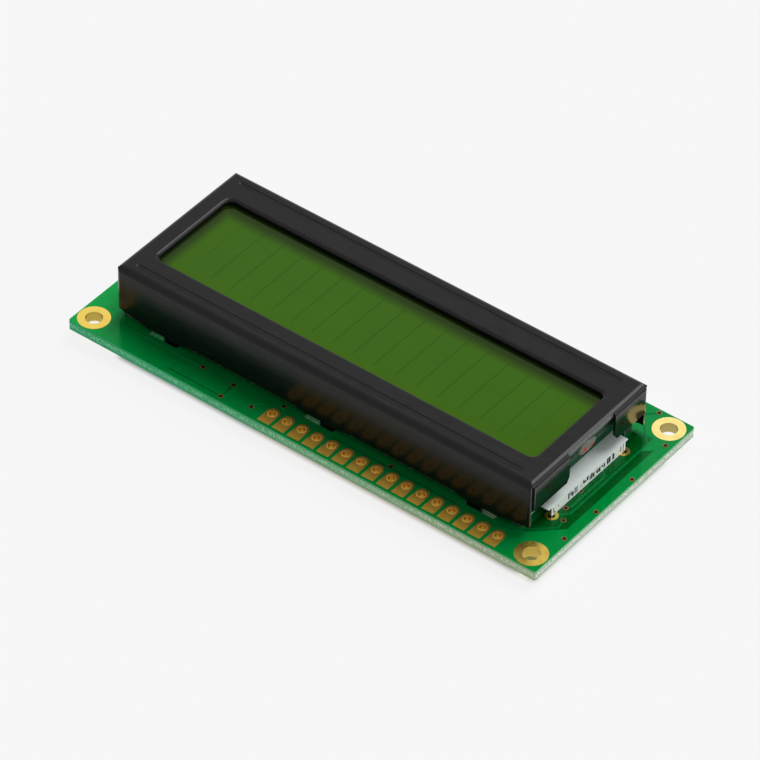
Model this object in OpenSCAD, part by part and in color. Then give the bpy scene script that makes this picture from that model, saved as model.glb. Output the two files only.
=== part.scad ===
// A two-row character display: a liquid crystal cell held by a folded black steel bezel on a green
// circuit board, lit from its right-hand end. Millimetres. X runs along the rows, Y towards the back
// edge, Z up. The origin is the centre of the four mounting holes, on the back face of the board.

/* [Bezel] */
// Length of the bezel
bezel_l = 71.1; // [58:0.1:90]
// Width of the bezel
bezel_w = 26.1; // [21.5:0.1:34]
// Height of the bezel above the board
bezel_h = 8.85; // [8.5:0.05:11]
// Thickness of the bezel sheet
bezel_t = 0.4; // [0.3:0.05:0.5]
// Inner radius of the bezel's long bends
bend_r = 0.5; // [0.2:0.05:0.6]
// Corner radius of the bezel's outline
corner_r = 0.8; // [0.4:0.1:0.9]
// Frame between the window and the left end
border_left = 3.2; // [2.5:0.1:5]
// Frame between the window and the right end
border_right = 3.4; // [2.5:0.1:5]
// Frame between the window and the front
border_front = 4.8; // [4:0.1:6]
// Frame between the window and the back
border_back = 5.3; // [4:0.1:6]
// Corner radius of the window
window_r = 1; // [0.6:0.1:2]
// Inner radius of the bend of the window's turned-down lip
lip_bend_r = 0.1; // [0.05:0.05:0.2]
// Depth of the lip below the top of the bezel
lip_depth = 0.95; // [0.8:0.05:1.2]
// Gap of the open seams at the bezel's corners
seam_gap = 0.15; // [0.1:0.05:0.3]
// Setback of the long walls' left ends from the outside of the left end wall
setback_left = 0.15; // [0.1:0.05:0.35]
// Setback of the long walls' right ends from the outside of the right end wall
setback_right = 0.35; // [0.1:0.05:0.35]
// Height of the walls' lower edge above the board
wall_lift = 0.9; // [0.7:0.05:1.3]
// Rise of the lower edge towards the bezel's ends
edge_rise = 0.55; // [0.2:0.05:0.8]
// Length of that rise
edge_rise_l = 3.5; // [2:0.1:4]
// Height of the right end wall's lower edge above the board
end_wall_lift = 3.95; // [3.5:0.05:4.5]
// Radius of the right end wall's lower corners
end_corner_r = 0.5; // [0.2:0.1:1]
// Distance from the bezel's front to the near side of the end notch
notch_from_front = 8.35; // [6:0.05:10]
// Distance from the bezel's back to the far side of the end notch
notch_from_back = 7.55; // [6:0.05:10]
// Depth of the end notch into the bend
notch_depth = 0.4; // [0.2:0.05:0.5]
// Width of the chamfers at the end notch's lower corners
notch_chamfer_w = 0.5; // [0.2:0.1:1]
// Height of the chamfers at the end notch's lower corners
notch_chamfer_h = 0.8; // [0.2:0.1:1.2]
// Distance of the front groove from the bezel's front
groove_front = 1.95; // [1.6:0.05:2.4]
// Distance of the back groove from the bezel's back
groove_back = 1.9; // [1.6:0.05:2.4]
// Width of the stiffening grooves
groove_w = 0.7; // [0.5:0.05:0.9]
// Width of the stiffening grooves' flat floor
groove_floor_w = 0.28; // [0.1:0.02:0.4]
// Depth of the stiffening grooves
groove_d = 0.12; // [0.05:0.01:0.16]
// Distance of the grooves' left ends from the bezel's left end
groove_inset_left = 2.2; // [1.5:0.1:5]
// Distance of the grooves' right ends from the bezel's right end
groove_inset_right = 2.9; // [1.5:0.1:5]

/* [Twist tabs] */
// Distance of the left tabs from the bezel's left end
tab_inset_left = 8.5; // [8:0.1:13]
// Distance of the right tabs from the bezel's right end
tab_inset_right = 8.3; // [8:0.1:13]
// Length of a board slot
slot_l = 5; // [4:0.1:6]
// Reach of a slot beyond the outside of the wall
slot_out = 0.35; // [0.3:0.05:0.8]
// Clearance between a slot and the inside of the wall
slot_in = 0.15; // [0.1:0.05:0.3]
// Corner radius of a slot
slot_r = 0.35; // [0.2:0.05:0.35]
// Height of a tab shoulder's lower edge above the board
shoulder_lift = 0.45; // [0.3:0.05:0.6]
// Reach of a tab's shoulder beyond the slot's ends
shoulder_reach = 0.3; // [0:0.1:0.5]
// Length of the slope at each end of a tab's shoulder
shoulder_slope = 1.9; // [1:0.1:2.2]
// Gap between a tab's neck and the slot's end
tab_gap = 0.1; // [0.05:0.05:0.4]
// Width of a tab's neck
neck_w = 2.3; // [1.6:0.1:2.6]
// Width of a tab's twisted ear
ear_w = 3.2; // [2.8:0.1:3.6]
// Length of the ear below the board
ear_l = 1.5; // [1.4:0.1:2]
// Angle of the twisted ear
ear_twist = 32; // [20:1:40]

/* [Board] */
// Thickness of the board
board_t = 1.6; // [1.2:0.1:2]
// Board beyond the bezel's left end
margin_left = 4.4; // [3.2:0.1:8]
// Board beyond the bezel's right end
margin_right = 4.5; // [4.1:0.1:8]
// Board in front of the bezel
margin_front = 5.05; // [4.6:0.05:8]
// Board behind the bezel
margin_back = 4.85; // [3.5:0.05:8]
// Corner radius of the board
board_r = 0.3; // [0.2:0.1:2]
// Thickness of the printed copper and its plating
copper_t = 0.05; // [0.03:0.01:0.1]
// Distance of the mounting holes from the board's edges
hole_inset = 2.5; // [2.4:0.05:2.6]
// Radius of the mounting holes
hole_r = 1.25; // [1:0.05:1.3]
// Outer radius of the plated rings round the mounting holes
ring_r = 2.35; // [1.8:0.05:2.38]

/* [Pin row] */
// Number of pin holes
pin_count = 16; // [14:1:18]
// Distance between pin holes
pin_pitch = 2.54; // [2:0.01:2.54]
// Distance of the last pin hole from the board's right edge
pin_from_right = 8; // [7:0.1:12]
// Distance of the pin row from the board's front edge
pin_from_front = 2.5; // [2.3:0.1:3]
// Radius of the pin holes
pin_hole_r = 0.5; // [0.4:0.05:0.55]
// Width of a pin pad
pad_w = 2; // [1.5:0.05:2.1]
// Distance of the pads' flat ends from the board's front edge
pad_edge = 0.4; // [0.3:0.05:0.8]
// Distance of the pads' round ends behind the pin holes' centres
pad_reach = 1.12; // [1:0.01:1.2]

/* [Cell] */
// Clearance between the front glass and the inside of the bezel
glass_gap = 0.25; // [0.15:0.05:0.5]
// Clearance between the front glass and the right end wall
glass_gap_right = 0.8; // [0.5:0.1:1]
// Thickness of each glass
glass_t = 1.1; // [0.7:0.1:1.1]
// Thickness of the liquid crystal between the glasses
cell_t = 0.05; // [0.04:0.01:0.1]
// Width of the contact ledges along the front glass
ledge_w = 2.2; // [2:0.1:2.5]
// Width of the seal round the liquid crystal
seal_w = 0.8; // [0.5:0.1:1.2]
// Length of the filling gap in the seal's right end
fill_w = 3.4; // [1.5:0.1:4]
// Distance of the filling gap's middle behind the cell's middle
fill_offset = 0.7; // [0:0.1:1.5]
// Proud height of the plug that closes the filling gap
plug_proud = 0.4; // [0.2:0.05:0.45]
// Radius of the plug's bead
plug_r = 0.85; // [0.6:0.05:1]
// Thickness of each polarising film
film_t = 0.15; // [0.1:0.01:0.2]
// Overlap of the front film beyond the window
film_lap = 1; // [0.7:0.1:1.3]
// Margin between the rear film and the rear glass's edge
film_margin = 0.6; // [0.3:0.1:1]

/* [Contact strips] */
// Width of each rubber contact strip
strip_w = 1.8; // [1.5:0.1:1.8]
// Distance of a strip from the front glass's long edge
strip_inset = 0.1; // [0.05:0.01:0.12]
// Distance of the strips' left ends from the inside of the left end wall
strip_left = 0.3; // [0.2:0.1:4]
// Distance of the strips' right ends from the inside of the right end wall
strip_right = 1.5; // [0.9:0.1:4]
// Distance between contact fingers on the board
finger_pitch = 1.43; // [1.2:0.01:2]
// Width of a contact finger
finger_w = 0.8; // [0.5:0.05:0.9]
// Reach of the contact fingers beyond the strips' outer sides
finger_reach = 0.18; // [0.05:0.01:0.2]

/* [Backlight] */
// Thickness of the white film under the light guide
mirror_t = 0.25; // [0.15:0.05:0.3]
// Thickness of the diffusing film
diffuser_t = 0.2; // [0.1:0.05:0.3]
// Clearance between the light guide and the contact strips
guide_gap = 0.3; // [0.2:0.05:0.5]
// Distance of the light guide's left end from the bezel's left end
guide_left = 1.2; // [1:0.1:3]
// Distance of the light guide's lit end from the bezel's right end
guide_right = 2.5; // [2.4:0.1:3]
// Distance from the bezel's right end to the cover film's outer edge
cover_out = 0.1; // [0.05:0.05:0.5]
// Thickness of the cover film over the lamps
cover_t = 0.15; // [0.1:0.05:0.2]
// Height of the cover film's underside above the board
cover_h = 1.95; // [1.8:0.05:2.4]
// Distance of the cover film from the bezel's front
cover_front = 3.75; // [2.8:0.05:4.5]
// Distance of the cover film from the bezel's back
cover_back = 4.55; // [2.8:0.05:7]
// Distance of the lamp strip's outer face from the bezel's right end
lamp_strip_in = 0.1; // [0.05:0.05:0.2]
// Thickness of the lamp strip
lamp_strip_t = 0.6; // [0.55:0.05:0.8]
// Gap between the lamp strip and the board
lamp_strip_lift = 0.1; // [0.05:0.05:0.3]
// Setback of the lamp strip from the cover film's front edge
lamp_strip_front = 1; // [0.8:0.05:1.5]
// Setback of the lamp strip from the cover film's back edge
lamp_strip_back = 0.25; // [0.2:0.05:1]
// Number of lamps
lamp_count = 4; // [2:1:4]
// Width of a lamp
lamp_w = 2.8; // [2:0.1:2.9]
// Height of a lamp
lamp_h = 1.4; // [1:0.1:1.5]
// Depth of a lamp
lamp_d = 1; // [0.8:0.1:1.05]
// Width of a lamp pin
lamp_pin_w = 0.5; // [0.4:0.05:0.6]
// Thickness of a lamp pin
lamp_pin_t = 0.25; // [0.2:0.05:0.3]
// Thickness of the lamp strip's skin outside a lamp pin's slot
lamp_skin_t = 0.1; // [0.05:0.01:0.15]
// Clearance between the skin and a lamp pin
lamp_slot_gap = 0.1; // [0.05:0.01:0.1]
// Distance of the lamp pins' holes behind the lamp strip's outer face
lamp_hole_inset = 0.15; // [0.1:0.01:0.25]
// Height of the lamp pins' upper end above the board
lamp_pin_h = 1.4; // [1:0.1:1.6]
// Length of the lamp pins below the board
lamp_pin_tail = 1; // [0.9:0.1:1.2]
// Radius of the lamp pins' holes
lamp_hole_r = 0.5; // [0.45:0.05:0.55]
// Radius of the lamp pins' pads
lamp_pad_r = 0.95; // [0.8:0.05:1]
// Height of the solder round a lamp pin's tail
solder_h = 0.75; // [0.5:0.05:0.85]
// Radius of the solder at its tip
solder_tip_r = 0.45; // [0.42:0.01:0.6]

/* [Vias] */
// Radius of a via's hole
via_hole_r = 0.15; // [0.1:0.01:0.2]
// Radius of a via's ring
via_ring_r = 0.38; // [0.3:0.01:0.45]

/* [Back parts] */
// Distance of each controller from the board's centre
chip_x = 17; // [14:0.5:19]
// Distance of the controllers in front of the board's centre
chip_y = 1; // [0:0.5:3]
// Width of a controller's silicon
chip_w = 4; // [2:0.1:5]
// Thickness of a controller's silicon
chip_t = 0.4; // [0.3:0.05:0.5]
// Radius of the resin over a controller
resin_r = 7; // [6:0.1:7.5]
// Height of the resin over a controller
resin_h = 1.35; // [1:0.05:1.39]
// Distance between the resin and the row of chip resistors
resistor_gap = 2.2; // [1.5:0.1:2.4]
// Number of chip resistors
resistor_count = 6; // [2:1:7]
// Distance between chip resistors
resistor_pitch = 2.2; // [2:0.1:3]
// Length of a chip resistor
resistor_l = 2; // [1.6:0.1:3.2]
// Width of a chip resistor
resistor_w = 1.25; // [0.8:0.05:1.3]
// Height of a chip resistor
resistor_h = 0.5; // [0.3:0.05:0.7]
// Number of chip capacitors
capacitor_count = 3; // [1:1:5]
// Distance between chip capacitors
capacitor_pitch = 3; // [2.2:0.1:4]
// Distance of the chip capacitors in front of the controllers' centres
capacitor_gap = 2; // [0:0.5:6]
// Length of a chip capacitor
capacitor_l = 2; // [1.6:0.1:3.2]
// Width of a chip capacitor
capacitor_w = 1.25; // [0.8:0.05:1.6]
// Height of a chip capacitor
capacitor_h = 0.8; // [0.5:0.05:1.2]
// Length of the metal ends of the chip parts
cap_end = 0.4; // [0.2:0.05:0.5]
// Height of the chip parts' metal ends above their bodies
cap_lip = 0.05; // [0.03:0.01:0.08]

/* [Hidden] */
$fn = 48;
// Reach of a cut past the face it goes through
over = 0.5;
// Overlap of two shapes that make one outline
lap = 0.05;

// Heights, from the board's back face upwards
board_z = board_t;
copper_z = board_z + copper_t;
bezel_z = board_z + bezel_h;
film_z = bezel_z - lip_depth;
front_glass_z = film_z - film_t - glass_t;
cell_z = front_glass_z - cell_t;
rear_glass_z = cell_z - glass_t;
rear_film_z = rear_glass_z - film_t;
diffuser_z = rear_film_z - diffuser_t;
guide_z = board_z + mirror_t;
wall_z = board_z + wall_lift;
shoulder_z = board_z + shoulder_lift;
end_wall_z = board_z + end_wall_lift;
cover_z = board_z + cover_h;
lamp_strip_z = board_z + lamp_strip_lift;

// Board outline, centred on the origin
board_l = margin_left + bezel_l + margin_right;
board_w = margin_front + bezel_w + margin_back;
board_x0 = -board_l / 2;
board_x1 = board_l / 2;
board_y0 = -board_w / 2;
board_y1 = board_w / 2;
hole_x = board_x1 - hole_inset;
hole_y = board_y1 - hole_inset;

// Bends, bezel outline and the space inside its walls
bezel_r = bend_r + bezel_t;
lip_r = lip_bend_r + bezel_t;
bezel_x0 = board_x0 + margin_left;
bezel_x1 = board_x1 - margin_right;
bezel_y0 = board_y0 + margin_front;
bezel_y1 = board_y1 - margin_back;
inner_x0 = bezel_x0 + bezel_t;
inner_x1 = bezel_x1 - bezel_t;
inner_y0 = bezel_y0 + bezel_t;
inner_y1 = bezel_y1 - bezel_t;
window_x0 = bezel_x0 + border_left;
window_x1 = bezel_x1 - border_right;
window_y0 = bezel_y0 + border_front;
window_y1 = bezel_y1 - border_back;
notch_y0 = bezel_y0 + notch_from_front;
notch_y1 = bezel_y1 - notch_from_back;

// Twist tabs: three along each long wall. A side of 1 puts the neck at the slot's right end. The neck
// stays clear of the slot's round corners where the wall stands.
tab_xs = [
    bezel_x0 + tab_inset_left,
    (bezel_x0 + tab_inset_left + bezel_x1 - tab_inset_right) / 2,
    bezel_x1 - tab_inset_right
];
tab_sides = [1, 1, -1];
slot_corner = slot_in < slot_r ? slot_r - sqrt(slot_r * slot_r - pow(slot_r - slot_in, 2)) : 0;
neck_offset = slot_l / 2 - slot_corner - tab_gap - neck_w / 2;
shoulder_x = slot_l / 2 + shoulder_reach;

// Pin row
pin_x1 = board_x1 - pin_from_right;
pin_x0 = pin_x1 - (pin_count - 1) * pin_pitch;
pin_y = board_y0 + pin_from_front;

// Cell: the front glass overhangs the rear glass along both long edges
glass_x0 = inner_x0 + glass_gap;
glass_x1 = inner_x1 - glass_gap_right;
glass_y0 = inner_y0 + glass_gap;
glass_y1 = inner_y1 - glass_gap;
rear_y0 = glass_y0 + ledge_w;
rear_y1 = glass_y1 - ledge_w;
fill_y0 = (rear_y0 + rear_y1 - fill_w) / 2 + fill_offset;
fill_y1 = fill_y0 + fill_w;

// Contact strips stand on the board's contact fingers and carry the ledges
strip_x0 = inner_x0 + strip_left;
strip_x1 = inner_x1 - strip_right;
strip_front_y0 = glass_y0 + strip_inset;
strip_front_y1 = strip_front_y0 + strip_w;
strip_back_y1 = glass_y1 - strip_inset;
strip_back_y0 = strip_back_y1 - strip_w;
finger_count = floor((strip_x1 - strip_x0) / finger_pitch);
finger_x0 = (strip_x0 + strip_x1 - (finger_count - 1) * finger_pitch) / 2;

// Light guide, cover film and lamps
guide_x0 = bezel_x0 + guide_left;
guide_x1 = bezel_x1 - guide_right;
guide_y0 = strip_front_y1 + guide_gap;
guide_y1 = strip_back_y0 - guide_gap;
cover_x1 = bezel_x1 + cover_out;
cover_y0 = bezel_y0 + cover_front;
cover_y1 = bezel_y1 - cover_back;
lamp_strip_x1 = bezel_x1 - lamp_strip_in;
lamp_strip_x0 = lamp_strip_x1 - lamp_strip_t;
lamp_strip_y0 = cover_y0 + lamp_strip_front;
lamp_strip_y1 = cover_y1 - lamp_strip_back;
lamp_pitch = (lamp_strip_y1 - lamp_strip_y0) / lamp_count;
lamp_z = (lamp_strip_z + cover_z - lamp_h) / 2;

// Lamp pins, flush with the lamp strip's ends in slots open to the inside
lamp_slot_x1 = lamp_strip_x1 - lamp_skin_t;
lamp_pin_x1 = lamp_slot_x1 - lamp_slot_gap;
lamp_pin_x0 = lamp_pin_x1 - lamp_pin_t;
lamp_pin_ys = [lamp_strip_y0 + lamp_pin_w / 2, lamp_strip_y1 - lamp_pin_w / 2];
lamp_hole_x = lamp_strip_x1 - lamp_hole_inset;

// Vias, as distances left of the first pin hole or of the board's right edge, and from the pin row
front_vias = [[13.3, 1.5], [7.75, 1.25], [7.7, -1.55], [3.1, -0.65], [-0.25, 2.15], [-18.9, 1.75]];
right_vias = [[0.55, 19.85], [0.55, 11.75], [4.15, 9.85], [2.95, 7.75], [4.6, 13.75], [0.8, 5]];
corner_vias = [[5.4, -1.8], [0.95, 2.95]];
via_points = concat(
    [for (v = front_vias) [pin_x0 - v[0], pin_y + v[1]]],
    [for (v = right_vias) [board_x1 - v[0], pin_y + v[1]]],
    [for (v = corner_vias) [board_x1 - v[0], hole_y - v[1]]]
);

// Parts on the board's back
resistor_x0 = -(resistor_count - 1) * resistor_pitch / 2;
resistor_y = resin_r + resistor_gap - chip_y;
capacitor_x0 = -(capacitor_count - 1) * capacitor_pitch / 2;
capacitor_y = -chip_y - capacitor_gap;

// A box between two corners
module block(low, high) {
    translate(low) cube(high - low);
}

// A flat outline with round corners, between two corners
module rounded_rect(low, high, r) {
    translate([low[0] + r, low[1]]) square([high[0] - low[0] - 2 * r, high[1] - low[1]]);
    translate([low[0], low[1] + r]) square([high[0] - low[0], high[1] - low[1] - 2 * r]);
    for (x = [low[0] + r, high[0] - r], y = [low[1] + r, high[1] - r])
        translate([x, y]) circle(r = r);
}

// The slots for the twist tabs, as flat outlines
module slot_outlines() {
    for (x = tab_xs) {
        rounded_rect([x - slot_l / 2, bezel_y0 - slot_out], [x + slot_l / 2, inner_y0 + slot_in], slot_r);
        rounded_rect([x - slot_l / 2, inner_y1 - slot_in], [x + slot_l / 2, bezel_y1 + slot_out], slot_r);
    }
}

// A plated ring on both faces of the board, joined by the wall of its hole
module plated_hole(r_hole, r_ring) {
    difference() {
        union() {
            cylinder(r = r_hole + copper_t, h = board_t);
            translate([0, 0, -copper_t]) cylinder(r = r_ring, h = copper_t);
            translate([0, 0, board_z]) cylinder(r = r_ring, h = copper_t);
        }
        translate([0, 0, -over]) cylinder(r = r_hole, h = board_t + 2 * over);
    }
}

// The board's own hole for a plated hole
module drilled_hole(r_hole) {
    translate([0, 0, -over]) cylinder(r = r_hole + copper_t, h = board_t + 2 * over);
}

module board() {
    color("seagreen")
    difference() {
        linear_extrude(board_t)
            difference() {
                rounded_rect([board_x0, board_y0], [board_x1, board_y1], board_r);
                slot_outlines();
            }
        for (x = [-hole_x, hole_x], y = [-hole_y, hole_y])
            translate([x, y, 0]) drilled_hole(hole_r);
        for (i = [0:pin_count - 1])
            translate([pin_x0 + i * pin_pitch, pin_y, 0]) drilled_hole(pin_hole_r);
        for (y = lamp_pin_ys)
            translate([lamp_hole_x, y, 0]) drilled_hole(lamp_hole_r);
        for (p = via_points)
            translate([p[0], p[1], 0]) drilled_hole(via_hole_r);
    }
}

module mounting_ring(i) {
    x = i % 2 == 1 ? -hole_x : hole_x;
    y = i <= 2 ? -hole_y : hole_y;
    color("gold") translate([x, y, 0]) plated_hole(hole_r, ring_r);
}

// The outline of a pin pad about its hole: flat towards the board's edge, round towards the bezel
module pin_pad_outline() {
    round_y = pad_reach - pad_w / 2;
    translate([-pad_w / 2, pad_edge - pin_from_front])
        square([pad_w, round_y + pin_from_front - pad_edge]);
    translate([0, round_y]) circle(d = pad_w);
}

module pin_pad(i) {
    color("goldenrod")
    translate([pin_x0 + (i - 1) * pin_pitch, pin_y, 0])
    difference() {
        union() {
            cylinder(r = pin_hole_r + copper_t, h = board_t);
            translate([0, 0, -copper_t]) linear_extrude(copper_t) pin_pad_outline();
            translate([0, 0, board_z]) linear_extrude(copper_t) pin_pad_outline();
        }
        translate([0, 0, -over]) cylinder(r = pin_hole_r, h = board_t + 2 * over);
    }
}

module vias() {
    color("peru")
    for (p = via_points)
        translate([p[0], p[1], 0]) plated_hole(via_hole_r, via_ring_r);
}

// A row of flat contact fingers between two distances in Y
module fingers(y0, y1) {
    for (i = [0:finger_count - 1]) {
        x = finger_x0 + i * finger_pitch;
        block([x - finger_w / 2, y0, board_z], [x + finger_w / 2, y1, copper_z]);
    }
}

module front_fingers() {
    color("gold") fingers(strip_front_y0 - finger_reach, strip_front_y1);
}

module back_fingers() {
    color("gold") fingers(strip_back_y0, strip_back_y1 + finger_reach);
}

// The bezel's outside or inside, as the crossing of two round-shouldered bars
module bezel_bulk(inset, r, z_low) {
    z_high = bezel_z - inset;
    intersection() {
        translate([0, bezel_y1 - inset, 0]) rotate([90, 0, 0]) linear_extrude(bezel_w - 2 * inset)
            shouldered_outline(bezel_x0 + inset, bezel_x1 - inset, z_low, z_high, r);
        translate([bezel_x0 + inset, 0, 0]) rotate([90, 0, 90]) linear_extrude(bezel_l - 2 * inset)
            shouldered_outline(bezel_y0 + inset, bezel_y1 - inset, z_low, z_high, r);
    }
}

// A rectangle with its two upper corners rounded
module shouldered_outline(u0, u1, z0, z1, r) {
    translate([u0, z0]) square([u1 - u0, z1 - r - z0]);
    translate([u0 + r, z1 - r - lap]) square([u1 - u0 - 2 * r, r + lap]);
    for (u = [u0 + r, u1 - r])
        translate([u, z1 - r]) circle(r = r);
}

// The section of the window's lip, measured outwards from the window's edge and up from the lip's foot
module lip_outline() {
    square([bezel_t, lip_depth - lip_r]);
    intersection() {
        translate([0, lip_depth - lip_r]) square(lip_r);
        difference() {
            translate([lip_r, lip_depth - lip_r]) circle(r = lip_r);
            translate([lip_r, lip_depth - lip_r]) circle(r = lip_bend_r);
        }
    }
}

// A straight run of the lip along X from the origin, with the window on its front
module lip_run(length) {
    rotate([90, 0, 90]) linear_extrude(length) lip_outline();
}

module window_lip() {
    run_x = window_x1 - window_x0 - 2 * window_r;
    run_y = window_y1 - window_y0 - 2 * window_r;
    translate([window_x0 + window_r, window_y1, film_z]) lip_run(run_x);
    translate([window_x1 - window_r, window_y0, film_z]) rotate([0, 0, 180]) lip_run(run_x);
    translate([window_x1, window_y1 - window_r, film_z]) rotate([0, 0, -90]) lip_run(run_y);
    translate([window_x0, window_y0 + window_r, film_z]) rotate([0, 0, 90]) lip_run(run_y);
    for (corner = [[window_x1 - window_r, window_y1 - window_r, 0],
                   [window_x0 + window_r, window_y1 - window_r, 90],
                   [window_x0 + window_r, window_y0 + window_r, 180],
                   [window_x1 - window_r, window_y0 + window_r, 270]])
        translate([corner[0], corner[1], film_z]) rotate([0, 0, corner[2]])
            rotate_extrude(angle = 90) translate([window_r, 0]) lip_outline();
}

// A stiffening groove along X in the top of the frame, with sloping sides and sloping round ends
module groove(y) {
    x0 = bezel_x0 + groove_inset_left + groove_w / 2;
    x1 = bezel_x1 - groove_inset_right - groove_w / 2;
    rim_r = groove_w / 2;
    floor_r = groove_floor_w / 2;
    translate([x0, y, bezel_z]) rotate([90, 0, 90])
        linear_extrude(x1 - x0)
            polygon([[-rim_r, over], [-rim_r, 0], [-floor_r, -groove_d],
                     [floor_r, -groove_d], [rim_r, 0], [rim_r, over]]);
    for (x = [x0, x1])
        translate([x, y, bezel_z - groove_d]) {
            cylinder(r1 = floor_r, r2 = rim_r, h = groove_d);
            translate([0, 0, groove_d]) cylinder(r = rim_r, h = over);
        }
}

// A twist tab on the front wall, about the middle of the wall's thickness. The shoulder brings the
// wall's edge down over the slot. The neck stands at one end of the slot, passes through the board and
// ends in an ear twisted flat against the board's back.
module tab(side) {
    neck_x = side * neck_offset;
    slope_x = shoulder_x + shoulder_slope;
    translate([0, bezel_t / 2, 0]) rotate([90, 0, 0])
        linear_extrude(bezel_t)
            polygon([[-slope_x, wall_z + lap], [-slope_x, wall_z], [-shoulder_x, shoulder_z],
                     [shoulder_x, shoulder_z], [slope_x, wall_z], [slope_x, wall_z + lap]]);
    block([neck_x - neck_w / 2, -bezel_t / 2, 0], [neck_x + neck_w / 2, bezel_t / 2, shoulder_z + lap]);
    translate([neck_x, 0, -ear_l]) rotate([0, 0, ear_twist])
        block([-ear_w / 2, -bezel_t / 2, 0], [ear_w / 2, bezel_t / 2, ear_l]);
}

// The rise of the walls' lower edge at one end of the bezel, drawn in X and Z. A side of 1 is the right
// end.
module edge_rise_cut(x_end, side) {
    polygon([[x_end + side * over, wall_z - over], [x_end + side * over, wall_z + edge_rise],
             [x_end, wall_z + edge_rise], [x_end - side * edge_rise_l, wall_z],
             [x_end - side * edge_rise_l, wall_z - over]]);
}

// The cut below the right end wall, with the wall's round lower corners, and the lower part of the notch
// with its chamfers. Drawn in Y and Z.
module end_wall_cut() {
    chamfer_z = end_wall_z + notch_chamfer_h;
    wall_y0 = inner_y0 + seam_gap;
    wall_y1 = inner_y1 - seam_gap;
    translate([wall_y0 - lap, board_z])
        square([wall_y1 - wall_y0 + 2 * lap, end_wall_lift]);
    for (end = [[wall_y0, wall_y0 + end_corner_r, wall_y0 - lap],
                [wall_y1, wall_y1 - end_corner_r, wall_y1 - end_corner_r]])
        difference() {
            translate([end[2], end_wall_z - lap]) square([end_corner_r + lap, end_corner_r + lap]);
            translate([end[1], end_wall_z + end_corner_r]) circle(r = end_corner_r);
        }
    polygon([[notch_y0 - notch_chamfer_w, end_wall_z - lap], [notch_y1 + notch_chamfer_w, end_wall_z - lap],
             [notch_y1 + notch_chamfer_w, end_wall_z], [notch_y1, chamfer_z],
             [notch_y0, chamfer_z], [notch_y0 - notch_chamfer_w, end_wall_z]]);
}

module bezel() {
    seam_z = bezel_z - bezel_t - lap;
    color([0.13, 0.13, 0.14]) {
        difference() {
            intersection() {
                bezel_bulk(0, bezel_r, wall_z);
                linear_extrude(bezel_z + over)
                    rounded_rect([bezel_x0, bezel_y0], [bezel_x1, bezel_y1], corner_r);
            }
            bezel_bulk(bezel_t, bend_r, wall_z - over);
            // Window, less the turned-down lip's bend
            translate([0, 0, film_z]) linear_extrude(bezel_h)
                rounded_rect([window_x0 - lip_r, window_y0 - lip_r],
                             [window_x1 + lip_r, window_y1 + lip_r], window_r + lip_r);
            // Open seams beside the front and back walls
            for (x = [bezel_x0 - over, inner_x1 - over], y = [inner_y0, inner_y1 - seam_gap])
                block([x, y, wall_z - over], [x + bezel_t + 2 * over, y + seam_gap, seam_z]);
            // Ends of the front and back walls, set back below the top sheet
            for (end = [[bezel_x0 - over, bezel_x0 + setback_left],
                        [bezel_x1 - setback_right, bezel_x1 + over]],
                 y = [bezel_y0 - over, inner_y1])
                block([end[0], y, wall_z - over], [end[1], y + bezel_t + over, seam_z]);
            // Lower edge, rising towards both ends
            translate([0, bezel_y1 + over, 0]) rotate([90, 0, 0])
                linear_extrude(bezel_w + 2 * over) {
                    edge_rise_cut(bezel_x0, -1);
                    edge_rise_cut(bezel_x1, 1);
                }
            translate([inner_x1 - over, 0, 0]) rotate([90, 0, 90])
                linear_extrude(bezel_t + 2 * over) end_wall_cut();
            // Notch over the cell's filling end
            block([bezel_x1 - notch_depth, notch_y0, end_wall_z],
                  [bezel_x1 + over, notch_y1, bezel_z + over]);
            groove(bezel_y0 + groove_front);
            groove(bezel_y1 - groove_back);
        }
        window_lip();
        for (i = [0:2]) {
            translate([tab_xs[i], bezel_y0 + bezel_t / 2, 0]) tab(tab_sides[i]);
            translate([tab_xs[i], bezel_y1 - bezel_t / 2, 0]) rotate([0, 0, 180]) tab(tab_sides[i]);
        }
    }
}

module front_film() {
    color([0.45, 0.55, 0.2])
    block([window_x0 - film_lap, window_y0 - film_lap, film_z - film_t],
          [window_x1 + film_lap, window_y1 + film_lap, film_z]);
}

module front_glass() {
    color([0.75, 0.85, 0.8, 0.5])
    block([glass_x0, glass_y0, front_glass_z], [glass_x1, glass_y1, film_z - film_t]);
}

module cell_seal() {
    color("dimgray")
    difference() {
        block([glass_x0, rear_y0, cell_z], [glass_x1, rear_y1, front_glass_z]);
        block([glass_x0 + seal_w, rear_y0 + seal_w, cell_z - over],
              [glass_x1 - seal_w, rear_y1 - seal_w, front_glass_z + over]);
        block([glass_x1 - seal_w - over, fill_y0, cell_z - over],
              [glass_x1 + over, fill_y1, front_glass_z + over]);
    }
}

module liquid_crystal() {
    color([0.5, 0.6, 0.25])
    block([glass_x0 + seal_w, rear_y0 + seal_w, cell_z],
          [glass_x1 - seal_w, rear_y1 - seal_w, front_glass_z]);
}

// The plug fills the gap in the seal and stands proud as a bead on the edges of both glasses
module fill_plug() {
    color("rosybrown") {
        block([glass_x1 - seal_w, fill_y0, cell_z], [glass_x1, fill_y1, front_glass_z]);
        intersection() {
            translate([glass_x1 + plug_proud - plug_r, fill_y0, (cell_z + front_glass_z) / 2])
                rotate([-90, 0, 0]) cylinder(r = plug_r, h = fill_w);
            block([glass_x1, fill_y0, cell_z - glass_t], [glass_x1 + plug_proud, fill_y1, film_z - film_t]);
        }
    }
}

module rear_glass() {
    color([0.75, 0.85, 0.8, 0.5])
    block([glass_x0, rear_y0, rear_glass_z], [glass_x1, rear_y1, cell_z]);
}

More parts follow.
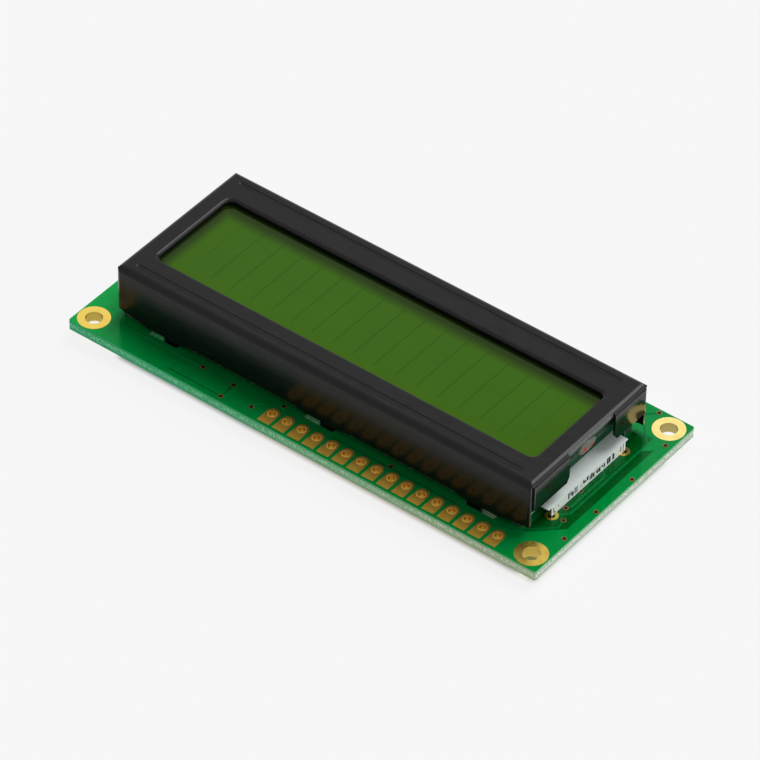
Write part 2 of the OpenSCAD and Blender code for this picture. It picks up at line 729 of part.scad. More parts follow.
module rear_film() {
    color([0.5, 0.6, 0.25])
    block([glass_x0 + film_margin, rear_y0 + film_margin, rear_film_z],
          [glass_x1 - film_margin, rear_y1 - film_margin, rear_glass_z]);
}

module diffuser() {
    color("whitesmoke")
    block([guide_x0, guide_y0, diffuser_z], [guide_x1, guide_y1, rear_film_z]);
}

module light_guide() {
    color([0.85, 0.95, 0.9, 0.6])
    block([guide_x0, guide_y0, guide_z], [guide_x1, guide_y1, diffuser_z]);
}

module mirror_film() {
    color("white")
    block([guide_x0, guide_y0, board_z], [guide_x1, guide_y1, guide_z]);
}

// The film over the lamps
module cover_film() {
    color("silver") block([guide_x1, cover_y0, cover_z], [cover_x1, cover_y1, cover_z + cover_t]);
}

module lamp_strip() {
    color("white")
    difference() {
        block([lamp_strip_x0, lamp_strip_y0, lamp_strip_z], [lamp_strip_x1, lamp_strip_y1, cover_z]);
        block([lamp_strip_x0 - over, lamp_strip_y0 - over, lamp_strip_z - over],
              [lamp_slot_x1, lamp_strip_y0 + lamp_pin_w, board_z + lamp_pin_h]);
        block([lamp_strip_x0 - over, lamp_strip_y1 - lamp_pin_w, lamp_strip_z - over],
              [lamp_slot_x1, lamp_strip_y1 + over, board_z + lamp_pin_h]);
    }
}

module lamp(i) {
    y = lamp_strip_y0 + (i - 0.5) * lamp_pitch;
    color("lightyellow")
    block([lamp_strip_x0 - lamp_d, y - lamp_w / 2, lamp_z], [lamp_strip_x0, y + lamp_w / 2, lamp_z + lamp_h]);
}

module lamp_pin(i) {
    y = lamp_pin_ys[i - 1];
    color("silver")
    block([lamp_pin_x0, y - lamp_pin_w / 2, -lamp_pin_tail],
          [lamp_pin_x1, y + lamp_pin_w / 2, board_z + lamp_pin_h]);
}

module lamp_pad(i) {
    color("gold") translate([lamp_hole_x, lamp_pin_ys[i - 1], 0]) plated_hole(lamp_hole_r, lamp_pad_r);
}

// A cone of solder round a lamp pin's tail, on the board's back
module lamp_solder(i) {
    y = lamp_pin_ys[i - 1];
    color("lightgray")
    difference() {
        translate([lamp_hole_x, y, -copper_t - solder_h])
            cylinder(r1 = solder_tip_r, r2 = lamp_pad_r, h = solder_h);
        block([lamp_pin_x0, y - lamp_pin_w / 2, -lamp_pin_tail - over],
              [lamp_pin_x1, y + lamp_pin_w / 2, over]);
    }
}

// A rubber contact strip between two distances in Y
module contact_strip(y0, y1) {
    block([strip_x0, y0, copper_z], [strip_x1, y1, front_glass_z]);
}

module front_contact_strip() {
    color("lightpink") contact_strip(strip_front_y0, strip_front_y1);
}

module back_contact_strip() {
    color("lightpink") contact_strip(strip_back_y0, strip_back_y1);
}

module controller(i) {
    x = (i == 1 ? -1 : 1) * chip_x;
    color("slategray")
    block([x - chip_w / 2, -chip_y - chip_w / 2, -chip_t], [x + chip_w / 2, -chip_y + chip_w / 2, 0]);
}

// A low dome of resin over a controller, on the board's back
module resin_cap(i) {
    x = (i == 1 ? -1 : 1) * chip_x;
    dome_r = (resin_r * resin_r + resin_h * resin_h) / (2 * resin_h);
    color([0.1, 0.1, 0.1])
    translate([x, -chip_y, 0])
    difference() {
        rotate_extrude()
            intersection() {
                translate([0, dome_r - resin_h]) circle(r = dome_r, $fn = 360);
                translate([0, -resin_h - over]) square([resin_r, resin_h + over]);
            }
        block([-chip_w / 2, -chip_w / 2, -chip_t], [chip_w / 2, chip_w / 2, over]);
    }
}

// A chip part with raised metal ends, lying along Y on the board's back
module chip_part(length, width, height) {
    block([-width / 2 + cap_lip, -length / 2 + cap_end, -height + cap_lip],
          [width / 2 - cap_lip, length / 2 - cap_end, 0]);
    for (y = [-length / 2, length / 2 - cap_end])
        block([-width / 2, y, -height], [width / 2, y + cap_end, 0]);
}

module resistors() {
    color("dimgray")
    for (i = [0:resistor_count - 1])
        translate([resistor_x0 + i * resistor_pitch, resistor_y, 0])
            chip_part(resistor_l, resistor_w, resistor_h);
}

module capacitors() {
    color("burlywood")
    for (i = [0:capacitor_count - 1])
        translate([capacitor_x0 + i * capacitor_pitch, capacitor_y, 0])
            chip_part(capacitor_l, capacitor_w, capacitor_h);
}

board();
bezel();
front_film();
front_glass();
cell_seal();
liquid_crystal();
fill_plug();
rear_glass();
rear_film();
diffuser();
light_guide();
mirror_film();
cover_film();
lamp_strip();
front_contact_strip();
back_contact_strip();
front_fingers();
back_fingers();
vias();
resistors();
capacitors();
for (i = [1:4]) mounting_ring(i);
for (i = [1:pin_count]) pin_pad(i);
for (i = [1:lamp_count]) lamp(i);
for (i = [1:2]) lamp_pin(i);
for (i = [1:2]) lamp_pad(i);
for (i = [1:2]) lamp_solder(i);
for (i = [1:2]) controller(i);
for (i = [1:2]) resin_cap(i);
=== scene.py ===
import math
import random

import bmesh
import bpy
from mathutils import Matrix, Vector, noise

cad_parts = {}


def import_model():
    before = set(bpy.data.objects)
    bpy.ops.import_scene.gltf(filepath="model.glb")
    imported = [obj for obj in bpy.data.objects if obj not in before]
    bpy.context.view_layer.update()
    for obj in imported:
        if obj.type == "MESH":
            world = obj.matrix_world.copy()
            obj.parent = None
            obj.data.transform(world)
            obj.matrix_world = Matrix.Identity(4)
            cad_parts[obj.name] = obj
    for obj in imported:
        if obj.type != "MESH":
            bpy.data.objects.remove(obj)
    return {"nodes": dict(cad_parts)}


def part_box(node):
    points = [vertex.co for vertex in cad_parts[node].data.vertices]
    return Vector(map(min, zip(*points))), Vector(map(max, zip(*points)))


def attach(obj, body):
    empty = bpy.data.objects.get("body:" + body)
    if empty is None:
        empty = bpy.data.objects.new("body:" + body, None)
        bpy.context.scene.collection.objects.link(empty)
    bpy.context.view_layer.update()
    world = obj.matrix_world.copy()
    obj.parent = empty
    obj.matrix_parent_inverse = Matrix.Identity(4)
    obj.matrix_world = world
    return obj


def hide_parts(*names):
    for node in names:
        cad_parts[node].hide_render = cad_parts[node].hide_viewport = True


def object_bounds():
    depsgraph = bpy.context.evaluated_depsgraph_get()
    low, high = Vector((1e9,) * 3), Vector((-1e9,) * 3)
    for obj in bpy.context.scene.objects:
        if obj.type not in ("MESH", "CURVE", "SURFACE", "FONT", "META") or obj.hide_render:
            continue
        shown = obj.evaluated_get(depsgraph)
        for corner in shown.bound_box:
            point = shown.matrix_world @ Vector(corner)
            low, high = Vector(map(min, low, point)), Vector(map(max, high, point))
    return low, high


# Lengths below are millimetres, and MM turns them into metres
MM = 0.001

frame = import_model()
cad_low, cad_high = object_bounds()
nodes = frame["nodes"]


def corners(name):
    """The lowest and highest corner of a node, in millimetres."""
    low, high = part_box(name)
    return low / MM, high / MM


TOP = corners("board")[1].z
FILM_LOW, FILM_HIGH = corners("front_film")
GLASS_LOW, GLASS_HIGH = corners("front_glass")
REAR_LOW, REAR_HIGH = corners("rear_glass")
PLUG_LOW, PLUG_HIGH = corners("fill_plug")
STRIP_LOW, STRIP_HIGH = corners("lamp_strip")
# How far the film reaches under the frame on each side of the window
FILM_LAP = 1.0
WINDOW_LOW = FILM_LOW + Vector((FILM_LAP, FILM_LAP, 0))
WINDOW_HIGH = FILM_HIGH - Vector((FILM_LAP, FILM_LAP, 0))
PIN_Y = -15.5
PIN_PITCH = 2.54
DOME_X = 17
DOME_Y = -1


# Building node trees

def add(tree, kind, inputs=None, **settings):
    """A shader node with its settings, and with its inputs set or linked."""
    made = tree.nodes.new("ShaderNode" + kind)
    for key, value in settings.items():
        setattr(made, key, value)
    for key, value in (inputs or {}).items():
        socket = made.inputs[key]
        if isinstance(value, bpy.types.NodeSocket):
            tree.links.new(value, socket)
        else:
            socket.default_value = value
    return made


def sums(tree, operation, *values):
    """The result of a Math node."""
    made = add(tree, "Math", dict(enumerate(values)), operation=operation)
    return made.outputs[0]


def blend(tree, share, first, second):
    """Two colours mixed by a share from 0 to 1."""
    made = add(tree, "Mix", {0: share}, data_type="RGBA")
    for index, value in ((6, first), (7, second)):
        if isinstance(value, bpy.types.NodeSocket):
            tree.links.new(value, made.inputs[index])
        else:
            made.inputs[index].default_value = (*value, 1)
    return made.outputs[2]


def position(tree):
    """The place on the object, in metres."""
    return add(tree, "TexCoord").outputs["Object"]


def axes(tree, vector):
    """The x, y and z of a vector."""
    split = add(tree, "SeparateXYZ", {0: vector})
    return split.outputs[0], split.outputs[1], split.outputs[2]


def facing(tree):
    """The x, y and z of the direction in which the surface looks."""
    return axes(tree, add(tree, "TexCoord").outputs["Normal"])


def one_minus(tree, value):
    """What is left of 1."""
    return sums(tree, "SUBTRACT", 1, value)


def facing_up(tree):
    """1 on faces that look up or down, 0 on upright ones."""
    return step(tree, sums(tree, "ABSOLUTE", facing(tree)[2]), 0.45, 0.75)


def step(tree, value, low, high):
    """Rises smoothly from 0 at low to 1 at high."""
    inputs = {"Value": value, "From Min": low, "From Max": high}
    return add(tree, "MapRange", inputs, interpolation_type="SMOOTHSTEP").outputs[0]


def step_mm(tree, value, low, high):
    """Like step, with low and high in millimetres and the value in metres."""
    return step(tree, value, low * MM, high * MM)


def band(tree, value, low, high, soft):
    """1 between low and high, with soft borders. All in millimetres, on a value in metres."""
    rise = step_mm(tree, value, low - soft, low + soft)
    fall = step_mm(tree, value, high - soft, high + soft)
    return sums(tree, "SUBTRACT", rise, fall)


def grain(tree, vector, size, detail=2.0, rough=0.5, stretch=None):
    """Noise with features of about that size in millimetres."""
    if stretch is not None:
        vector = add(tree, "Mapping", {"Vector": vector, "Scale": stretch}).outputs[0]
    inputs = {"Vector": vector, "Scale": 1 / (size * MM), "Detail": detail, "Roughness": rough}
    return add(tree, "TexNoise", inputs).outputs["Fac"]


def spread(tree, value, low, high):
    """Noise, which stays near a half, stretched to run from low to high."""
    inputs = {"Value": value, "From Min": 0.3, "From Max": 0.7, "To Min": low, "To Max": high}
    return add(tree, "MapRange", inputs).outputs[0]


def set_bump(tree, shader, height, depth):
    """A bump whose height of 1 stands for that depth in millimetres."""
    made = add(tree, "Bump", {"Height": height, "Distance": depth * MM, "Strength": 1.0})
    tree.links.new(made.outputs[0], shader.inputs["Normal"])


def new_material(name, **sockets):
    """A material with one Principled shader, and its sockets set."""
    material = bpy.data.materials.new(name)
    material.use_nodes = True
    tree = material.node_tree
    shader = tree.nodes["Principled BSDF"]
    for key, value in sockets.items():
        shader.inputs[key.replace("_", " ")].default_value = value
    return material, tree, shader


def surface(name, first, second, size, roughness, bump=0.0, bump_size=None, **sockets):
    """A material whose colour wanders between two, and whose gloss and height wander with it."""
    material, tree, shader = new_material(name, **sockets)
    where = position(tree)
    wander = grain(tree, where, size, 4.0, 0.6)
    share = spread(tree, wander, 0.0, 1.0)
    tree.links.new(blend(tree, share, first, second), shader.inputs["Base Color"])
    fine = grain(tree, where, bump_size or size / 3, 3.0)
    tree.links.new(spread(tree, fine, *roughness), shader.inputs["Roughness"])
    if bump:
        set_bump(tree, shader, fine, bump)
    return material


# Materials

MASK_BARE = ((0.0, 0.060, 0.006), (0.0, 0.085, 0.010))
MASK_COPPER = ((0.0, 0.205, 0.034), (0.0, 0.245, 0.044))
# Painted light: a lighter copy of the mask tone for the brighter-lit left end
MASK_LEFT_PAINTED_LIGHT = ((0.0, 0.33, 0.050), (0.0, 0.38, 0.060))
MASK_TRACE = ((0.0, 0.235, 0.044), (0.0, 0.275, 0.052))
MASK_TRACE_RIGHT = ((0.0, 0.130, 0.024), (0.0, 0.155, 0.030))
MASK_DIM = ((0.0, 0.095, 0.010), (0.0, 0.120, 0.014))
MASK_TINT = (0.0, 1.0, 0.35, 1.0)
MASK_SHINE = 0.4
MASK_GLOSS = (0.10, 0.16)
MASK_GRAIN = 1.6
MASK_FINE_GRAIN = 0.5
# Where one tone turns into the next: at the left end, where the mask is painted lighter as painted light, on
# the traces, and halfway up the board
MASK_LEFT_LIGHT_X = (-40, -24)
TRACE_TURN_X = (30, 34)
HALF_WAY_UP = (0.7, 0.9)

# The bare area on the right margin, whose front and back borders lean
BARE_X = (34.0, 38.4)
BARE_Y = (-8.8, 10.8)
BARE_LEAN = 0.93
BARE_INNER_X = (34.0, 36.9)
BARE_INNER_Y = (6.0, 12.6)
BARE_SOFT = 0.15
BARE_INNER_SOFT = 0.5

EDGE_GREEN = ((0.010, 0.46, 0.17), (0.36, 0.92, 0.55))
EDGE_BEIGE = ((0.40, 0.58, 0.30), (0.98, 0.96, 0.84))
# Painted shade: a duller tone for the right end face, which the side lamp lights most
EDGE_RIGHT_SHADE = ((0.30, 0.44, 0.30), (0.90, 0.80, 0.80))
EDGE_TURN_X = (-25, 38)
EDGE_RIM = (0.05, 0.45, 0.15)
EDGE_RIM_Z = (1.1, 1.5)
EDGE_RIM_SHARE = 0.7
EDGE_ROUGHNESS = 0.75
CLOTH_Z = (0.42, 1.18)
CLOTH_LEAN = 0.35
CLOTH_SHARE = 0.65


def mask_material(name, tones):
    """Glossy green solder mask."""
    return surface(name, *tones, MASK_GRAIN, MASK_GLOSS, 0.006, MASK_FINE_GRAIN,
                   Specular_Tint=MASK_TINT, Specular_IOR_Level=MASK_SHINE)


def mask_wander(tree, where):
    """The slow change of the mask's colour, from 0 to 1."""
    return spread(tree, grain(tree, where, MASK_GRAIN, 4.0, 0.6), 0, 1)


def mask_gloss(tree, where):
    """The mask's roughness."""
    return spread(tree, grain(tree, where, MASK_FINE_GRAIN, 3.0), *MASK_GLOSS)


def trace_material():
    """The mask over the traces, darker on the right margin than elsewhere."""
    material, tree, shader = new_material("mask_trace", Specular_Tint=MASK_TINT,
                                          Specular_IOR_Level=MASK_SHINE)
    where = position(tree)
    wander = mask_wander(tree, where)
    tone = blend(tree, step_mm(tree, axes(tree, where)[0], *TRACE_TURN_X),
                 blend(tree, wander, *MASK_TRACE), blend(tree, wander, *MASK_TRACE_RIGHT))
    tree.links.new(tone, shader.inputs["Base Color"])
    tree.links.new(mask_gloss(tree, where), shader.inputs["Roughness"])
    return material


def bare_area(tree, x, y):
    """1 on the right margin, where only traces lie between the bezel and the copper along the edge."""
    lean = sums(tree, "MULTIPLY", sums(tree, "SUBTRACT", x, BARE_X[1] * MM), BARE_LEAN)
    outer = sums(tree, "MULTIPLY", band(tree, x, *BARE_X, BARE_SOFT),
                 band(tree, sums(tree, "SUBTRACT", y, lean), *BARE_Y, BARE_SOFT))
    inner = sums(tree, "MULTIPLY", band(tree, x, *BARE_INNER_X, BARE_SOFT),
                 band(tree, y, *BARE_INNER_Y, BARE_INNER_SOFT))
    return sums(tree, "MAXIMUM", outer, inner)


def mask_tone(tree, where, x, y, z):
    """The mask's green: painted lighter towards the left end as painted light, and dark over the bare area of
    the top.
    """
    wander = mask_wander(tree, where)
    tone = blend(tree, step_mm(tree, x, *MASK_LEFT_LIGHT_X), blend(tree, wander, *MASK_LEFT_PAINTED_LIGHT),
                 blend(tree, wander, *MASK_COPPER))
    bare = sums(tree, "MULTIPLY", bare_area(tree, x, y), step_mm(tree, z, *HALF_WAY_UP))
    return blend(tree, bare, tone, blend(tree, wander, *MASK_BARE))


def sawn_edge(tree, x, y, z, layers):
    """Glass cloth in resin: green at the left end, beige at the right, and a duller painted shade on the
    right end face.
    """
    lean = sums(tree, "MULTIPLY", z, CLOTH_LEAN)
    strands = add(tree, "CombineXYZ", {0: sums(tree, "ADD", x, lean), 1: sums(tree, "ADD", y, lean),
                                       2: sums(tree, "MULTIPLY", z, 0.3)}).outputs[0]
    cloth = step(tree, grain(tree, strands, 0.20, 1.0), 0.42, 0.62)
    core = band(tree, z, *CLOTH_Z, 0.18)
    weave = sums(tree, "ADD", sums(tree, "MULTIPLY", spread(tree, layers, 0, 1), 1 - CLOTH_SHARE),
                 sums(tree, "MULTIPLY", sums(tree, "MULTIPLY", cloth, core), CLOTH_SHARE))
    cut = blend(tree, step_mm(tree, x, *EDGE_TURN_X), blend(tree, weave, *EDGE_GREEN),
                blend(tree, weave, *EDGE_BEIGE))
    cut = blend(tree, step(tree, facing(tree)[0], 0.5, 0.8), cut, blend(tree, weave, *EDGE_RIGHT_SHADE))
    rim = sums(tree, "MULTIPLY", step_mm(tree, z, *EDGE_RIM_Z), EDGE_RIM_SHARE)
    return blend(tree, rim, cut, EDGE_RIM)


def board_material():
    """Mask on the faces, and the sawn laminate with its glass cloth on the edges."""
    material, tree, shader = new_material("board", Specular_Tint=MASK_TINT, Specular_IOR_Level=MASK_SHINE)
    where = position(tree)
    x, y, z = axes(tree, where)
    up = facing_up(tree)
    layers = grain(tree, where, 0.5, 4.0, 0.65, stretch=(0.6, 0.6, 3.5))
    tone = blend(tree, up, sawn_edge(tree, x, y, z, layers), mask_tone(tree, where, x, y, z))
    tree.links.new(tone, shader.inputs["Base Color"])
    rough = sums(tree, "MAXIMUM", mask_gloss(tree, where),
                 sums(tree, "MULTIPLY", one_minus(tree, up), EDGE_ROUGHNESS))
    tree.links.new(rough, shader.inputs["Roughness"])
    set_bump(tree, shader, layers, 0.01)
    return material


PAINT_TONES = ((0.0030, 0.0030, 0.0032), (0.0050, 0.0050, 0.0052))
PAINT_GLOSS = (0.21, 0.30)
BARE_STEEL = (0.13, 0.14, 0.135)
# The cut ends of the long walls, as distances from the middle
CUT_X = (35.04, 35.32)
# How much glossier the end walls are than the rest
END_WALL_GLOSS = 0.62


def bezel_material():
    """Glossy black paint on folded steel, bare grey where the sheet is cut at its ends."""
    material, tree, shader = new_material("bezel_paint", Specular_IOR_Level=0.20)
    where = position(tree)
    flow = grain(tree, where, 2.4, 2.0)
    paint = blend(tree, spread(tree, flow, 0, 1), *PAINT_TONES)
    outward = facing(tree)[0]
    endways = sums(tree, "ABSOLUTE", outward)
    cut = band(tree, sums(tree, "MULTIPLY", axes(tree, where)[0], outward), *CUT_X, 0.02)
    bare = sums(tree, "MULTIPLY", cut, step(tree, endways, 0.96, 0.99))
    burr = spread(tree, grain(tree, where, 0.5, 3.0), 0.55, 1.0)
    tone = blend(tree, sums(tree, "MULTIPLY", bare, burr), paint, BARE_STEEL)
    tree.links.new(tone, shader.inputs["Base Color"])
    scuffs = grain(tree, where, 0.9, 4.0, 0.6, stretch=(0.25, 1.0, 1.0))
    dull = one_minus(tree, sums(tree, "MULTIPLY", endways, END_WALL_GLOSS))
    rough = sums(tree, "MULTIPLY", spread(tree, scuffs, *PAINT_GLOSS), dull)
    tree.links.new(rough, shader.inputs["Roughness"])
    peel = sums(tree, "ADD", flow, sums(tree, "MULTIPLY", grain(tree, where, 0.35, 2.0), 0.12))
    set_bump(tree, shader, peel, 0.004)
    return material


GLASS_EDGE = ((0.010, 0.030, 0.014), (0.040, 0.075, 0.045))
# Painted highlight: light lines along the arrises of the glasses
GLASS_ARRIS_HIGHLIGHT = (0.11, 0.15, 0.12)
ARRIS_HIGHLIGHT_REACH = 0.09


def glass_material():
    """Thin display glass: clear through its faces, green at its ground edges, with a painted highlight along
    its arrises.
    """
    material, tree, shader = new_material("display_glass", Roughness=0.4, Specular_IOR_Level=0.08)
    where = position(tree)
    z = axes(tree, where)[2]
    # Bands of painted highlight at the top and bottom arrises of both glasses
    lines = 0.0
    for level in (GLASS_LOW.z, GLASS_HIGH.z, REAR_LOW.z, REAR_HIGH.z):
        line = band(tree, z, level - ARRIS_HIGHLIGHT_REACH, level + ARRIS_HIGHLIGHT_REACH, 0.03)
        lines = sums(tree, "MAXIMUM", lines, line)
    wander = spread(tree, grain(tree, where, 0.8, 3.0), 0, 1)
    tone = blend(tree, lines, blend(tree, wander, *GLASS_EDGE), GLASS_ARRIS_HIGHLIGHT)
    tree.links.new(tone, shader.inputs["Base Color"])
    clear = sums(tree, "MULTIPLY", facing_up(tree), 0.99)
    tree.links.new(one_minus(tree, clear), shader.inputs["Alpha"])
    return material


CELL_COLUMNS = 16
CELL_PITCH = 3.53
ROW_HEIGHT = 5.75
# The cells' middle, from the middle of the window
CELL_SHIFT = (0.38, -0.15)
# A line is full up to the first distance from its middle, and gone at the second
CELL_LINE_REACH = (0.08, 0.176)
CELL_TONES = ((0.0300, 0.1040, 0.0), (0.0335, 0.1125, 0.0))
CELL_FIELD = (0.025, 0.115, 0.01)
CELL_LINE = (0.008, 0.045, 0.0)
CELL_SHADE = (0.006, 0.014, 0.002)
CELL_FIELD_SHARE = 0.15
CELL_LINE_SHARE = 0.42
ROW_LINE_SHARE = 0.3
# The lip's shade, from the window's back edge and from its left one
LIP_SHADE_BACK = (3.5, 0.9)
LIP_SHADE_LEFT = (0.4, 2.6)
LIP_SHADE_SHARE = 0.95
FILM_TINT = (0.33, 0.63, 0.01, 1.0)


def cell_lines(tree, x, y, middle):
    """1 inside the field of cells, and 1 on the fine lines between the cells."""
    half = CELL_COLUMNS * CELL_PITCH / 2
    field = sums(tree, "MULTIPLY", band(tree, x, middle.x - half, middle.x + half, 0.08),
                 band(tree, y, middle.y - ROW_HEIGHT, middle.y + ROW_HEIGHT, 0.08))
    start = sums(tree, "SUBTRACT", x, (middle.x - half) * MM)
    column = sums(tree, "PINGPONG", start, CELL_PITCH * MM / 2)
    row = sums(tree, "ABSOLUTE", sums(tree, "SUBTRACT", y, middle.y * MM))
    upright = one_minus(tree, step_mm(tree, column, *CELL_LINE_REACH))
    split = one_minus(tree, step_mm(tree, row, *CELL_LINE_REACH))
    lines = sums(tree, "MAXIMUM", upright, sums(tree, "MULTIPLY", split, ROW_LINE_SHARE))
    return field, sums(tree, "MULTIPLY", lines, field)


def lip_shade(tree, x, y):
    """The share of shade that the window's lip throws on the film, at the back and at the left."""
    back = step_mm(tree, y, *(WINDOW_HIGH.y - reach for reach in LIP_SHADE_BACK))
    left = one_minus(tree, step_mm(tree, x, *(WINDOW_LOW.x + reach for reach in LIP_SHADE_LEFT)))
    return sums(tree, "MULTIPLY", sums(tree, "MAXIMUM", back, left), LIP_SHADE_SHARE)


def film_material():
    """The display's face: faintly matt, with fine lines between the cells and shade at the lip."""
    material, tree, shader = new_material("polariser", IOR=1.42, Specular_Tint=FILM_TINT)
    where = position(tree)
    x, y = axes(tree, where)[:2]
    middle = (WINDOW_LOW + WINDOW_HIGH) / 2 + Vector((*CELL_SHIFT, 0))
    field, lines = cell_lines(tree, x, y, middle)
    wander = spread(tree, grain(tree, where, 7.0, 2.0), 0, 1)
    colour = blend(tree, wander, *CELL_TONES)
    colour = blend(tree, sums(tree, "MULTIPLY", field, CELL_FIELD_SHARE), colour, CELL_FIELD)
    colour = blend(tree, sums(tree, "MULTIPLY", lines, CELL_LINE_SHARE), colour, CELL_LINE)
    colour = blend(tree, lip_shade(tree, x, y), colour, CELL_SHADE)
    tree.links.new(colour, shader.inputs["Base Color"])
    tree.links.new(spread(tree, wander, 0.11, 0.14), shader.inputs["Roughness"])
    return material


PLUG_TONES = ((0.10, 0.115, 0.095), (0.21, 0.215, 0.19))
PLUG_RED = (0.40, 0.035, 0.03)
# The middles of the red drops in Y and Z, their half width and height, and their lean
PLUG_DROPS = ((0.15, 7.15), (1.65, 7.05))
DROP_HALF = (0.42, 0.70)
DROP_LEAN = 0.6


def plug_material():
    """Cloudy glue with two reddish drops in it."""
    material, tree, shader = new_material("plug_resin", Roughness=0.35, Specular_IOR_Level=0.25)
    where = position(tree)
    y, z = axes(tree, where)[1:]
    colour = blend(tree, spread(tree, grain(tree, where, 0.5, 3.0), 0, 1), *PLUG_TONES)
    for at_y, at_z in PLUG_DROPS:
        over = sums(tree, "DIVIDE", sums(tree, "SUBTRACT", y, at_y * MM), DROP_HALF[0] * MM)
        above = sums(tree, "SUBTRACT", z, at_z * MM)
        lean = sums(tree, "ADD", over, sums(tree, "MULTIPLY", above, DROP_LEAN / MM))
        tall = sums(tree, "DIVIDE", above, DROP_HALF[1] * MM)
        away = sums(tree, "ADD", sums(tree, "MULTIPLY", lean, lean), sums(tree, "MULTIPLY", tall, tall))
        colour = blend(tree, one_minus(tree, step(tree, away, 0.35, 1.2)), colour, PLUG_RED)
    tree.links.new(colour, shader.inputs["Base Color"])
    return material


def gold_material(name, low, high, roughness, barrel_shade):
    """Gold plating, darker by that share inside the hole, as painted shade."""
    material, tree, shader = new_material(name, Metallic=1.0)
    where = position(tree)
    tone = blend(tree, spread(tree, grain(tree, where, 0.9, 3.0), 0, 1), low, high)
    # Painted shade: the barrel inside the hole is darkened
    inside = band(tree, axes(tree, where)[2], 0.03, TOP - 0.03, 0.03)
    dark = tuple(c * barrel_shade for c in low)
    tree.links.new(blend(tree, inside, tone, dark), shader.inputs["Base Color"])
    tree.links.new(spread(tree, grain(tree, where, 0.7), *roughness), shader.inputs["Roughness"])
    return material


COPPER_TONES = ((0.12, 0.05, 0.01), (0.28, 0.13, 0.03))
VIA_HOLE_SHADE = (0.004, 0.003, 0.002)


def via_material():
    """Reddish copper round the mouth of each via, and black inside it as painted shade."""
    material, tree, shader = new_material("via_copper", Metallic=0.5)
    where = position(tree)
    rim = blend(tree, spread(tree, grain(tree, where, 0.3, 4.0), 0, 1), *COPPER_TONES)
    # Painted shade: black inside the via's hole
    inside = band(tree, axes(tree, where)[2], 0.06, TOP - 0.06, 0.04)
    tree.links.new(blend(tree, inside, rim, VIA_HOLE_SHADE), shader.inputs["Base Color"])
    tree.links.new(spread(tree, grain(tree, where, 0.2), 0.35, 0.55), shader.inputs["Roughness"])
    return material


# Painted shade: the rubber's tones are set dark and greenish
RUBBER_SHADED_TONES = ((0.06, 0.085, 0.06), (0.10, 0.13, 0.09))
RUBBER_STRIPE = (0.04, 0.04, 0.04)
RUBBER_CORE = (0.02, 0.02, 0.02)
STRIPE_PITCH = 0.1
CORE_HALF_WIDTH = 0.6


def contact_strip_material():
    """Silicone rubber with a striped conducting core, its tones darkened as painted shade."""
    material, tree, shader = new_material("strip_rubber", Roughness=0.55)
    where = position(tree)
    x, y = axes(tree, where)[:2]
    stripes = step_mm(tree, sums(tree, "PINGPONG", x, STRIPE_PITCH * MM / 2), 0.02, 0.03)
    core = 0.0
    for name in ("front_contact_strip", "back_contact_strip"):
        low, high = corners(name)
        middle = (low.y + high.y) / 2
        inside = band(tree, y, middle - CORE_HALF_WIDTH, middle + CORE_HALF_WIDTH, 0.05)
        core = sums(tree, "MAXIMUM", core, inside)
    body = blend(tree, spread(tree, grain(tree, where, 0.6), 0, 1), *RUBBER_SHADED_TONES)
    body = blend(tree, sums(tree, "MULTIPLY", stripes, 0.3), body, RUBBER_STRIPE)
    body = blend(tree, sums(tree, "MULTIPLY", core, 0.8), body, RUBBER_CORE)
    tree.links.new(body, shader.inputs["Base Color"])
    return material


MASK_LINE = trace_material()
MASK_GAP = mask_material("mask_gap", MASK_DIM)
BOARD = board_material()
PAINT = bezel_material()
FILM = film_material()
GLASS = glass_material()
PLUG = plug_material()
RUBBER = contact_strip_material()
CRYSTAL = surface("liquid_crystal", (0.10, 0.20, 0.02), (0.12, 0.24, 0.03), 0.9, (0.4, 0.5))
REAR_FILM = surface("rear_polariser", (0.11, 0.22, 0.03), (0.13, 0.26, 0.04), 0.5, (0.45, 0.6))
GOLD = gold_material("gold_plate", (0.76, 0.55, 0.104), (0.80, 0.58, 0.114), (0.26, 0.30), 0.68)
PAD_GOLD = surface("pad_gold", (0.54, 0.32, 0.045), (0.62, 0.39, 0.065), 0.5, (0.32, 0.40), 0.003, 0.15,
                   Metallic=1.0)
# Painted light: a lighter copy of the gold for the back right mounting ring
PAINTED_LIGHT_GOLD = gold_material("painted_light_gold", (0.76, 0.61, 0.21), (0.80, 0.65, 0.24), (0.26, 0.30), 0.6)
LAMP_GOLD = gold_material("lamp_gold", (0.50, 0.36, 0.07), (0.66, 0.49, 0.10), (0.30, 0.36), 0.12)
# Painted highlight: a lighter gold for the rims round the pin holes
RIM_HIGHLIGHT_GOLD = surface("rim_highlight_gold", (0.80, 0.50, 0.10), (0.88, 0.58, 0.14), 0.4, (0.40, 0.50), 0.002, 0.15,
                   Metallic=1.0)
COPPER = via_material()
